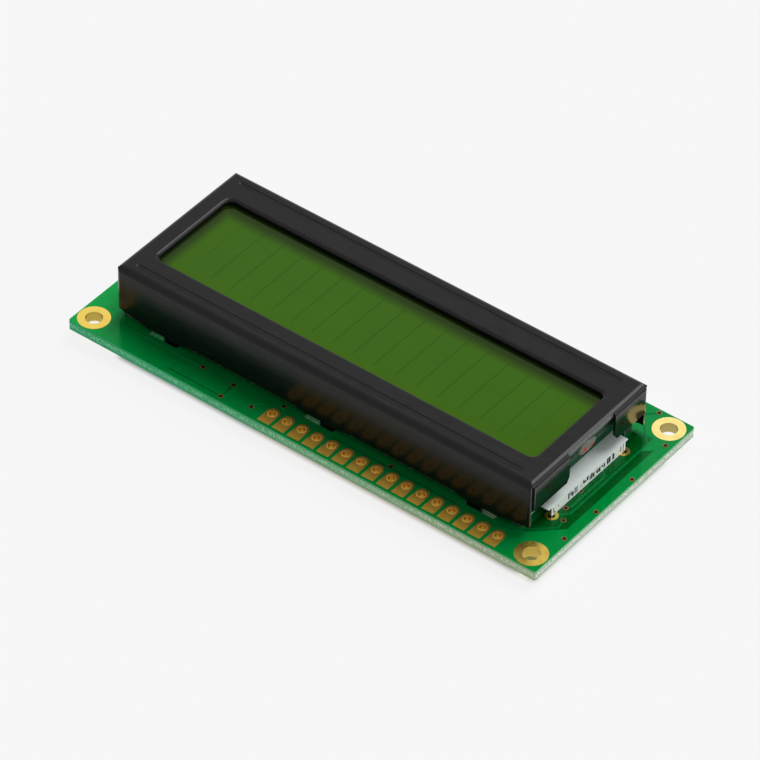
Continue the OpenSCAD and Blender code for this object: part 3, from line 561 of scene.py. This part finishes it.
# Painted shade: near-black discs over the via holes
VIA_SHADE = surface("via_hole_shade", (0.002, 0.001, 0.001), (0.012, 0.006, 0.003), 0.3, (0.5, 0.6),
                Specular_IOR_Level=0.1)
FINGER = surface("finger", (0.03, 0.10, 0.04), (0.09, 0.20, 0.09), 0.6, (0.3, 0.5))
TIN = surface("tin", (0.62, 0.62, 0.60), (0.78, 0.78, 0.76), 0.4, (0.22, 0.38), 0.004, 0.15, Metallic=1.0)
COVER = surface("cover_film", (0.75, 0.81, 0.80), (0.81, 0.86, 0.85), 2.5, (0.30, 0.42), 0.004, 0.6)
WHITE = surface("white_film", (0.80, 0.82, 0.80), (0.86, 0.87, 0.86), 2.0, (0.5, 0.6))
STRIP = surface("lamp_strip", (0.91, 0.95, 0.94), (0.95, 0.98, 0.97), 0.8, (0.30, 0.42), 0.004, 0.3)
GUIDE = surface("light_guide", (0.003, 0.050, 0.020), (0.008, 0.080, 0.034), 0.9, (0.30, 0.40),
                Specular_IOR_Level=0.10)
DIFFUSER = surface("diffuser", (0.02, 0.06, 0.03), (0.05, 0.11, 0.06), 0.9, (0.5, 0.6),
                   Specular_IOR_Level=0.1)
SEAL = surface("seal", (0.10, 0.11, 0.10), (0.16, 0.17, 0.16), 0.5, (0.5, 0.7))
LAMP = surface("lamp", (0.80, 0.72, 0.30), (0.88, 0.80, 0.40), 0.7, (0.2, 0.3))
SILICON = surface("silicon", (0.08, 0.09, 0.11), (0.12, 0.13, 0.15), 0.8, (0.15, 0.25), Metallic=0.5)
RESIN = surface("black_resin", (0.006, 0.006, 0.006), (0.014, 0.013, 0.012), 1.8, (0.10, 0.22), 0.02, 0.9)
GLAZE = surface("resistor_glaze", (0.010, 0.011, 0.014), (0.020, 0.021, 0.026), 0.3, (0.2, 0.35), 0.004, 0.1)
CERAMIC = surface("ceramic", (0.34, 0.20, 0.10), (0.46, 0.29, 0.16), 0.4, (0.4, 0.55), 0.004, 0.12)
WHITE_INK = surface("white_ink", (0.50, 0.56, 0.50), (0.66, 0.70, 0.64), 0.3, (0.5, 0.7))
DARK_INK = surface("dark_ink", (0.003, 0.003, 0.003), (0.010, 0.010, 0.010), 0.3, (0.4, 0.6))
OCHRE_INK = surface("ochre_ink", (0.36, 0.27, 0.06), (0.46, 0.36, 0.10), 0.3, (0.4, 0.6))


# Building meshes, in millimetres

MITRE_LIMIT = 0.3


def mitre(first, second):
    """Where two sides meet, the shift of their corner for one unit of shift of both."""
    return (first + second) / max(MITRE_LIMIT, 1 + first.dot(second))


def wedge_normals(points):
    """For a closed anticlockwise outline, the inward shift of each corner for one unit of inset."""
    count = len(points)
    shifts = []
    for i, here in enumerate(points):
        before = (here - points[i - 1]).normalized()
        after = (points[(i + 1) % count] - here).normalized()
        shifts.append(mitre(Vector((-before.y, before.x)), Vector((-after.y, after.x))))
    return shifts


def plate(bm, outline, low, high, slope):
    """A thin plate with sloping sides, from its wide face at low to its narrower face at high."""
    points = [Vector(p) for p in outline]
    shifts = wedge_normals(points)
    wide = [bm.verts.new((*(p * MM), low * MM)) for p in points]
    narrow = [bm.verts.new((*((p + s * slope) * MM), high * MM)) for p, s in zip(points, shifts)]
    for i in range(len(points)):
        bm.faces.new((wide[i - 1], wide[i], narrow[i], narrow[i - 1]))
    bm.faces.new(wide[::-1])
    bm.faces.new(narrow)


def ribbon(points, width, cap_points=6):
    """The anticlockwise outline of a line of that width, with round ends."""
    line = [Vector(p) for p in points]
    ways = [(b - a).normalized() for a, b in zip(line, line[1:])]
    sides = [Vector((-w.y, w.x)) for w in ways]
    shifts = [sides[0]]
    shifts += [mitre(a, b) for a, b in zip(sides, sides[1:])]
    shifts.append(sides[-1])
    half = width / 2
    outline = [p - s * half for p, s in zip(line, shifts)]
    outline += arc(line[-1], half, heading(ways[-1]) - 90, heading(ways[-1]) + 90, cap_points)[1:-1]
    outline += [p + s * half for p, s in zip(line, shifts)][::-1]
    outline += arc(line[0], half, heading(ways[0]) + 90, heading(ways[0]) + 270, cap_points)[1:-1]
    return outline


def heading(way):
    """The direction of a vector, in degrees."""
    return math.degrees(math.atan2(way.y, way.x))


def arc(centre, radius, start, end, steps):
    """Points on a circle between two angles in degrees."""
    made = []
    for i in range(steps + 1):
        angle = math.radians(start + (end - start) * i / steps)
        made.append(Vector(centre) + radius * Vector((math.cos(angle), math.sin(angle))))
    return made


def ring(bm, centre, inner, outer, low, high, steps=96):
    """A flat ring."""
    loops = []
    for radius, z in ((outer, low), (outer, high), (inner, high), (inner, low)):
        points = arc(centre, radius, 0, 360, steps)[:-1]
        loops.append([bm.verts.new((*(p * MM), z * MM)) for p in points])
    for j in range(4):
        first, second = loops[j], loops[(j + 1) % 4]
        for i in range(steps):
            bm.faces.new((first[i - 1], first[i], second[i], second[i - 1]))


def block(bm, low, high, bevel=0.0):
    """A box with its edges rounded."""
    low, high = Vector(low), Vector(high)
    place = Matrix.Translation((low + high) / 2 * MM) @ Matrix.Diagonal(((high - low) * MM).to_4d())
    made = bmesh.ops.create_cube(bm, size=1, matrix=place)["verts"]
    if bevel:
        edges = list(dict.fromkeys(e for v in made for e in v.link_edges))
        bmesh.ops.bevel(bm, geom=edges, offset=bevel * MM, segments=3, profile=0.5, affect="EDGES")


def piece(name, bm, material, smooth=False):
    """A new object from the mesh, which rides with the rest."""
    bmesh.ops.recalc_face_normals(bm, faces=bm.faces)
    mesh = bpy.data.meshes.new(name)
    bm.to_mesh(mesh)
    bm.free()
    mesh.materials.append(material)
    mesh.polygons.foreach_set("use_smooth", [smooth] * len(mesh.polygons))
    made = bpy.data.objects.new(name, mesh)
    bpy.context.scene.collection.objects.link(made)
    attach(made, "root")
    return made


def dress(material, *names):
    """Gives CAD nodes their material."""
    for name in names:
        data = nodes[name].data
        if not data.materials:
            data.materials.append(material)
        for entry in nodes[name].material_slots:
            entry.material = material


# Copper under the mask

# How far a raised piece reaches into the face it lies on
MASK_SUNK = 0.01
COPPER_RISE = 0.03
TRACE_RISE = 0.042
TRACE_SLOPE = 0.03
TRACE_WIDTH = 0.34
BACK_WIDTH = 0.22
GAP_RISE = 0.012
GAP_WIDTH = 0.22
TOP_TRACES = [
    [(35.4, -7.8), (36.95, -6.1), (36.95, 11.2), (34.4, 14.1), (33.8, 14.1)],
    [(35.87, -5.63), (36.25, -5.0), (36.25, 2.4), (35.1, 3.55)],
    [(37.05, -7.74), (37.3, -9.3), (32.9, -13.4), (31.2, -14.1), (30.7, -14.1)],
    [(-34.4, -12.6), (-33.0, -14.05), (-19.4, -14.0)],
    [(-9.18, -16.14), (-9.25, -15.1), (-8.3, -14.6)],
    [(-5.87, -13.37), (-4.75, -14.5), (-3.8, -15.0)],
    [(34.62, 17.32), (33.4, 16.1), (20.0, 16.1)],
]
TOP_GAPS = [
    [(-13.86, -14.6), (-13.81, -16.7)],
    [(-23.0, -17.05), (-13.9, -17.05)],
    [(3.0, -14.05), (23.8, -14.05)],
]


def top_copper():
    """Traces on the top, and the gaps between the copper areas."""
    bm = bmesh.new()
    for line in TOP_TRACES:
        plate(bm, ribbon(line, TRACE_WIDTH), TOP - MASK_SUNK, TOP + TRACE_RISE, TRACE_SLOPE)
    piece("traces_top", bm, MASK_LINE)
    bm = bmesh.new()
    for line in TOP_GAPS:
        plate(bm, ribbon(line, GAP_WIDTH), TOP - MASK_SUNK, TOP + GAP_RISE, GAP_RISE)
    piece("gaps_top", bm, MASK_GAP)


BEND_ROOM = 0.3


def bent(start, end, turn):
    """A route along Y with one slanting stretch, at 45 degrees where there is room for it."""
    way = 1 if end[1] > start[1] else -1
    room = abs(end[1] - turn) - BEND_ROOM
    run = min(abs(end[0] - start[0]), room)
    return [start, (start[0], turn), (end[0], turn + way * run), end]


# Traces leave a dome at this distance from its middle
DOME_REACH = 7.3
# Each group's number of traces, and the distance between them. A turn is where the middle trace of a
# group bends, and how much further on each next trace to its sides bends.
FAN_PITCH = 0.85
EDGE_TRACES = 13
EDGE_TURN = (8.2, 0.25)
EDGE_END = 12.9
EDGE_SPREAD = 1.25
PIN_TRACES = 12
PIN_TURN = (-9.2, -0.12)
PIN_END = -15.0
FIRST_PIN = 4.06
LINK_TRACES = 11
LINK_PITCH = 0.8
LINK_TURN = (7.5, 0.15)
# The right tab's slot and ear lie here: their middle in X, and the half width left free of traces
KEEP_CLEAR = (27.3, 3.2)


def dome_rim(offset):
    """How far from the dome's middle a line at that offset from it leaves the dome."""
    return math.sqrt(DOME_REACH ** 2 - offset ** 2)


def turn_at(turn, steps):
    """Where a trace bends that lies that many traces from its group's middle."""
    return turn[0] + abs(steps) * turn[1]


def edge_traces(side):
    """From a dome to the back edge, fanned out."""
    middle = (EDGE_TRACES - 1) / 2
    lines = []
    for i in range(EDGE_TRACES):
        offset = (i - middle) * FAN_PITCH
        start = (side * DOME_X + offset, DOME_Y + dome_rim(offset))
        end = (side * DOME_X + offset * EDGE_SPREAD, EDGE_END)
        lines.append(bent(start, end, turn_at(EDGE_TURN, i - middle)))
    return lines


def pin_traces():
    """From the right dome to the pins."""
    middle = (PIN_TRACES - 1) / 2
    lines = []
    for i in range(PIN_TRACES):
        offset = (i - middle) * FAN_PITCH
        pad = FIRST_PIN + i * PIN_PITCH
        if abs(pad - KEEP_CLEAR[0]) > KEEP_CLEAR[1]:
            start = (DOME_X + offset, DOME_Y - dome_rim(offset))
            lines.append(bent(start, (pad, PIN_END), turn_at(PIN_TURN, i - middle)))
    return lines


def link_traces():
    """From one dome to the other."""
    middle = (LINK_TRACES - 1) / 2
    lines = []
    for i in range(LINK_TRACES):
        offset = (i - middle) * LINK_PITCH
        y = DOME_Y + offset
        end = DOME_X - dome_rim(offset)
        turn = turn_at(LINK_TURN, i - middle)
        lines.append([(-end, y), (-turn, y), (turn, y), (end, y)])
    return lines


def back_copper():
    """Traces on the board's back."""
    bm = bmesh.new()
    for line in edge_traces(-1) + edge_traces(1) + pin_traces() + link_traces():
        plate(bm, ribbon(line, BACK_WIDTH, 3), MASK_SUNK, -COPPER_RISE, TRACE_SLOPE)
    piece("traces_back", bm, MASK_LINE)


top_copper()
back_copper()


# Print on the board and on the lamp strip

INK_RISE = 0.015
RANDOM_SEED = 7
# Runs of print from and to in Y, and the choices for each bar in them
PRINT_RUNS = ((-4.4, -2.4), (-1.1, 3.9), (4.3, 4.9), (5.6, 6.0))
BAR_WIDTHS = (0.2, 0.3, 0.42)
BAR_LIFTS = (0.0, 0.0, 0.35)
BAR_DROPS = (0.0, 0.0, 0.3)
BAR_GAPS = (0.14, 0.2)
BAR_FOOT = 0.4
BAR_HEAD = 0.42
# Marks near the strip's ends: middle in Y, width, and two heights above the strip's foot
END_MARKS = ((-7.75, 0.16, 0.25, 1.2), (-7.5, 0.34, 0.25, 0.45), (7.3, 0.16, 0.45, 1.4),
             (7.85, 0.14, 0.2, 1.6))
SPOTS = ((-1.6, 0.4, 2.35, 2.5), (-6.7, 0.22, 2.5, 2.72), (6.9, 0.22, 2.5, 2.72))
BAR_BEVEL = 0.005
WHITE_RING = (8.05, 8.2)


def strip_bars(name, material, bars):
    """Plain bars on the lamp strip's outer face, each with its middle in Y, its width and its two heights."""
    face = STRIP_HIGH.x
    bm = bmesh.new()
    for y, width, low, high in bars:
        block(bm, (face - MASK_SUNK, y - width / 2, low), (face + INK_RISE, y + width / 2, high),
              BAR_BEVEL)
    piece(name, bm, material)


def strip_print():
    """Rows of plain bars in place of print, marks near the ends, and ochre spots."""
    source = random.Random(RANDOM_SEED)
    foot = STRIP_LOW.z
    bars = []
    for start, end in PRINT_RUNS:
        y = start
        while y < end:
            width = source.choice(BAR_WIDTHS)
            lift = source.choice(BAR_LIFTS)
            drop = source.choice(BAR_DROPS)
            bars.append((y, width, foot + BAR_FOOT + lift, STRIP_HIGH.z - BAR_HEAD - drop))
            y += width + source.choice(BAR_GAPS)
    bars += [(y, width, foot + low, foot + high) for y, width, low, high in END_MARKS]
    strip_bars("strip_bars", DARK_INK, bars)
    strip_bars("strip_spots", OCHRE_INK, SPOTS)


def back_print():
    """A plain white ring round each dome."""
    bm = bmesh.new()
    for side in (-1, 1):
        ring(bm, (side * DOME_X, DOME_Y), *WHITE_RING, MASK_SUNK, -COPPER_RISE - INK_RISE)
    piece("white_rings", bm, WHITE_INK)


strip_print()
back_print()


# Plug at the end of the cell

PLUG_Z = 7.42
PLUG_RADII = (0.36, 1.9, 0.98)
PLUG_BACK = -0.02
# The depth and the closeness of its lumps
PLUG_LUMPS = ((0.10, 1.7), (0.04, 5.0))


def plug():
    """A bead of glue over the filling gap, flat against the ends of the glasses."""
    middle = Vector((GLASS_HIGH.x, (PLUG_LOW.y + PLUG_HIGH.y) / 2, PLUG_Z))
    bm = bmesh.new()
    bmesh.ops.create_uvsphere(bm, u_segments=64, v_segments=40, radius=1)
    for v in bm.verts:
        rough = 1 + sum(depth * noise.noise(v.co * close) for depth, close in PLUG_LUMPS)
        co = Vector([part * radius for part, radius in zip(v.co, PLUG_RADII)]) * rough
        co.x = max(co.x, PLUG_BACK)
        v.co = (middle + co) * MM
    bmesh.ops.remove_doubles(bm, verts=bm.verts, dist=0.001 * MM)
    made = piece("glue_bead", bm, PLUG, smooth=True)
    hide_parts("fill_plug")


plug()


# Domes and chip parts on the back

DOME_RINGS = 40
DOME_STEPS = 128
DOME_SUNK = 0.02
DOME_UNEVEN = 0.022
DOME_RIPPLE = 0.02
# The two powers that give the dome its profile
DOME_PROFILE = (2.6, 0.8)


def dome_point(middle, radius, height, share, angle):
    """A point of the dome's skin, at that share of the way from its top to its rim."""
    way = Vector((math.cos(angle), math.sin(angle), 0))
    edge = radius * (1 + DOME_UNEVEN * noise.noise(way * 1.6 + Vector((middle.x, 0, 0))))
    ripple = noise.noise(Vector((way.x * share * 3, way.y * share * 3, middle.x))) * (1 - share)
    drop = height * (1 - share ** DOME_PROFILE[0]) ** DOME_PROFILE[1] + DOME_RIPPLE * ripple
    at = way * min(edge * share, radius * share)
    z = -min(drop, height) if share < 1 else DOME_SUNK
    return Vector((middle.x + at.x, middle.y + at.y, z))


def dome(name, node):
    """A poured dome of resin with a slightly uneven rim."""
    low, high = corners(node)
    middle = (low + high) / 2
    radius, height = (high.x - low.x) / 2, high.z - low.z
    angles = [2 * math.pi * i / DOME_STEPS for i in range(DOME_STEPS)]
    bm = bmesh.new()
    apex = bm.verts.new(Vector((middle.x, middle.y, low.z)) * MM)
    base = bm.verts.new(Vector((middle.x, middle.y, DOME_SUNK)) * MM)
    loops = []
    for j in range(1, DOME_RINGS + 1):
        share = j / DOME_RINGS
        loops.append([bm.verts.new(dome_point(middle, radius, height, share, a) * MM) for a in angles])
    for i in range(DOME_STEPS):
        bm.faces.new((apex, loops[0][i], loops[0][i - 1]))
        bm.faces.new((base, loops[-1][i - 1], loops[-1][i]))
        for first, second in zip(loops, loops[1:]):
            bm.faces.new((first[i - 1], first[i], second[i], second[i - 1]))
    made = piece(name, bm, RESIN, smooth=True)
    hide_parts(node)


CHIP_WIDTH = 1.25
CHIP_END = 0.4
# How far the metal ends stand proud of a chip's sides and of its face
END_PROUD = (0.04, 0.05)
BODY_BEVEL = 0.02
END_BEVEL = 0.03
FILLET_REACH = 0.45
FILLET_STEPS = 8
FILLET_HEIGHT = 0.85
FILLET_INSET = 0.03


def chips(node, count, body_material):
    """Chip parts with a body, two wrapped metal ends and a fillet of solder at each end."""
    low, high = corners(node)
    half = CHIP_WIDTH / 2
    pitch = (high.x - low.x - CHIP_WIDTH) / (count - 1)
    bodies, metal = bmesh.new(), bmesh.new()
    for i in range(count):
        x = low.x + half + i * pitch
        block(bodies, (x - half + END_PROUD[0], low.y + CHIP_END / 2, low.z + END_PROUD[1]),
              (x + half - END_PROUD[0], high.y - CHIP_END / 2, 0.0), BODY_BEVEL)
        for y0, y1 in ((low.y, low.y + CHIP_END), (high.y - CHIP_END, high.y)):
            block(metal, (x - half, y0, low.z), (x + half, y1, 0.0), END_BEVEL)
        for y, way in ((low.y, -1), (high.y, 1)):
            fillet(metal, x, y, way, CHIP_WIDTH, -low.z)
    named = piece(node + "_bodies", bodies, body_material)
    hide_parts(node)
    piece(node + "_ends", metal, TIN)


def fillet(bm, x, y, way, width, height):
    """A hollow fillet of solder from a chip's end down to its pad."""
    section = []
    for i in range(FILLET_STEPS + 1):
        angle = math.pi / 2 * i / FILLET_STEPS
        section.append((y + way * FILLET_REACH * (1 - math.sin(angle)),
                        -height * FILLET_HEIGHT * (1 - math.cos(angle))))
    section.append((y - way * 0.02, 0.0))
    sides = []
    for at in (x - width / 2 + FILLET_INSET, x + width / 2 - FILLET_INSET):
        sides.append([bm.verts.new(Vector((at, *p)) * MM) for p in section])
    for i in range(len(section)):
        bm.faces.new((sides[0][i - 1], sides[0][i], sides[1][i], sides[1][i - 1]))
    bm.faces.new(sides[0])
    bm.faces.new(sides[1][::-1])


for number in (1, 2):
    dome(f"resin_dome_{number}", f"resin_cap_{number}")
chips("resistors", 6, GLAZE)
chips("capacitors", 3, CERAMIC)


# Rims round the pin holes, and painted shade over the holes of the vias

HOLE_RADIUS = 0.5
RIM_WIDTH = 0.22
RIM_RISE = 0.02
# The inner and outer radius of the dark discs of painted shade over the vias
VIA_SHADE_RADII = (0.01, 0.26)
VIA_SHADE_RISE = 0.056
VIA_APART = 0.95


def pad_rims():
    """Raised rims round the pin holes, in a lighter gold that is a painted highlight."""
    bm = bmesh.new()
    for name in nodes:
        if name.startswith("pin_pad_"):
            low, high = corners(name)
            centre = ((low.x + high.x) / 2, PIN_Y)
            ring(bm, centre, HOLE_RADIUS, HOLE_RADIUS + RIM_WIDTH, TOP, high.z + RIM_RISE, 48)
    piece("pad_rims", bm, RIM_HIGHLIGHT_GOLD)


def middles(name, apart):
    """The middles of the parts of a node that lie at least that far apart."""
    groups = []
    for vertex in nodes[name].data.vertices:
        at = nodes[name].matrix_world @ vertex.co / MM
        for group in groups:
            if (group[0].xy - at.xy).length < apart:
                group.append(at)
                break
        else:
            groups.append([at])
    made = []
    for group in groups:
        xs, ys = [p.x for p in group], [p.y for p in group]
        made.append(((min(xs) + max(xs)) / 2, (min(ys) + max(ys)) / 2))
    return made


def via_shade_discs():
    """Dark discs over the vias' holes: painted shade."""
    bm = bmesh.new()
    for centre in middles("vias", VIA_APART):
        ring(bm, centre, *VIA_SHADE_RADII, TOP, TOP + VIA_SHADE_RISE, 32)
    piece("via_shade_discs", bm, VIA_SHADE)


pad_rims()
via_shade_discs()


# Materials of the CAD nodes

dress(BOARD, "board")
dress(PAINT, "bezel")
dress(FILM, "front_film")
dress(GLASS, "front_glass", "rear_glass")
dress(SEAL, "cell_seal")
dress(CRYSTAL, "liquid_crystal")
dress(REAR_FILM, "rear_film")
dress(WHITE, "mirror_film")
dress(DIFFUSER, "diffuser")
dress(GUIDE, "light_guide")
dress(COVER, "cover_film")
dress(STRIP, "lamp_strip")
dress(RUBBER, "front_contact_strip", "back_contact_strip")
dress(COPPER, "vias")
dress(TIN, "lamp_pin_1", "lamp_pin_2", "lamp_solder_1", "lamp_solder_2")
dress(SILICON, "controller_1", "controller_2")
for name in nodes:
    if name.startswith("lamp_pad_"):
        dress(LAMP_GOLD, name)
    elif name.startswith("mounting_ring_"):
        # The back right ring gets the lighter copy of the gold as painted light
        dress(PAINTED_LIGHT_GOLD if name == "mounting_ring_4" else GOLD, name)
    elif name.startswith("pin_pad_"):
        dress(PAD_GOLD, name)
    elif name.endswith("_fingers"):
        dress(FINGER, name)
    elif name in ("lamp_1", "lamp_2", "lamp_3", "lamp_4"):
        dress(LAMP, name)


# Camera, floor and light

CAMERA_AZIMUTH = 37.268
CAMERA_ELEVATION = 42.037
CAMERA_ROLL = 0.93
CAMERA_TARGET = (3.309, -4.007, 5.0)
CAMERA_DISTANCE = 758.856
CAMERA_LENS = 266.31
PAPER = 0.935
FLOOR_TONE = 0.86
# The share of white that the floor shows of its own
FLOOR_GLOW = 0.92
FLOOR_HALF = 2.0
# The part of the floor that the object hides from the camera
COVERED_X = (-32.0, 39.0)
COVERED_Y = (-17.0, 12.5)
COVERED_SOFT = 0.8
AMBIENT = 0.25


def camera():
    """The camera at the photo's angle."""
    azimuth, elevation = math.radians(CAMERA_AZIMUTH), math.radians(CAMERA_ELEVATION)
    level = math.cos(elevation)
    back = Vector((math.sin(azimuth) * level, -math.cos(azimuth) * level, math.sin(elevation)))
    right = Vector((math.cos(azimuth), math.sin(azimuth), 0))
    turn = Matrix.Rotation(math.radians(CAMERA_ROLL), 3, back)
    right = turn @ right
    up = back.cross(right)
    data = bpy.data.cameras.new("camera")
    data.lens = CAMERA_LENS
    data.sensor_width = 36
    data.clip_start, data.clip_end = 0.01, 50
    made = bpy.data.objects.new("camera", data)
    bpy.context.scene.collection.objects.link(made)
    place = Matrix((right, up, back)).transposed().to_4x4()
    place.translation = (Vector(CAMERA_TARGET) + back * CAMERA_DISTANCE) * MM
    made.matrix_world = place
    bpy.context.scene.camera = made


def seen(tree):
    """1 for rays from the camera, from gloss and through glass."""
    path = add(tree, "LightPath").outputs
    kinds = sums(tree, "MAXIMUM", path["Is Camera Ray"], path["Is Glossy Ray"])
    return sums(tree, "MAXIMUM", kinds, path["Is Transmission Ray"])


def node_material(name):
    """A material without nodes yet, and its tree."""
    material = bpy.data.materials.new(name)
    material.use_nodes = True
    material.node_tree.nodes.clear()
    return material, material.node_tree


def paper_material():
    """Mostly seen as white. It is clear from below, and the room lights the object's underside."""
    material, tree = node_material("paper")
    diffuse = add(tree, "BsdfDiffuse", {"Color": (FLOOR_TONE, FLOOR_TONE, FLOOR_TONE, 1)})
    white = add(tree, "Emission", {"Color": (PAPER, PAPER, PAPER, 1), "Strength": 1.0})
    x, y = axes(tree, position(tree))[:2]
    covered = sums(tree, "MULTIPLY", band(tree, x, *COVERED_X, COVERED_SOFT),
                   band(tree, y, *COVERED_Y, COVERED_SOFT))
    open_share = sums(tree, "MULTIPLY", one_minus(tree, covered), FLOOR_GLOW)
    share = sums(tree, "MULTIPLY", seen(tree), open_share)
    lit = add(tree, "MixShader", {0: share, 1: diffuse.outputs[0], 2: white.outputs[0]})
    clear = add(tree, "BsdfTransparent").outputs[0]
    indirect = one_minus(tree, add(tree, "LightPath").outputs["Is Camera Ray"])
    through = sums(tree, "MULTIPLY", covered, indirect)
    above = add(tree, "MixShader", {0: through, 1: lit.outputs[0], 2: clear}).outputs[0]
    below = add(tree, "NewGeometry").outputs["Backfacing"]
    both = add(tree, "MixShader", {0: below, 1: above, 2: clear})
    add(tree, "OutputMaterial", {"Surface": both.outputs[0]})
    return material


def floor():
    """A pale floor under the object."""
    bm = bmesh.new()
    for x, y in ((-1, -1), (1, -1), (1, 1), (-1, 1)):
        bm.verts.new((x * FLOOR_HALF, y * FLOOR_HALF, cad_low.z))
    bm.faces.new(bm.verts)
    mesh = bpy.data.meshes.new("floor")
    bm.to_mesh(mesh)
    bm.free()
    mesh.materials.append(paper_material())
    made = bpy.data.objects.new("floor", mesh)
    bpy.context.scene.collection.objects.link(made)


def world():
    """A dim even room, seen as white."""
    made = bpy.data.worlds.new("studio")
    made.use_nodes = True
    tree = made.node_tree
    tree.nodes.clear()
    dim = add(tree, "Background", {"Color": (AMBIENT, AMBIENT, AMBIENT, 1), "Strength": 1.0})
    white = add(tree, "Background", {"Color": (PAPER, PAPER, PAPER, 1), "Strength": 1.0})
    mixed = add(tree, "MixShader", {0: seen(tree), 1: dim.outputs[0], 2: white.outputs[0]})
    add(tree, "OutputWorld", {"Surface": mixed.outputs[0]})
    bpy.context.scene.world = made


def lamp(name, towards, strength, angle):
    """A large soft lamp far away, in the direction given."""
    data = bpy.data.lights.new(name, "SUN")
    data.energy = strength
    data.angle = math.radians(angle)
    made = bpy.data.objects.new(name, data)
    made.rotation_mode = "QUATERNION"
    made.rotation_quaternion = Vector(towards).to_track_quat("Z", "Y")
    bpy.context.scene.collection.objects.link(made)


camera()
floor()
world()
lamp("key", (0.104, 0.489, 0.866), 2.3, 42)
lamp("side", (0.85, 0.35, 0.35), 1.0, 60)

bpy.context.scene.view_settings.view_transform = "Standard"
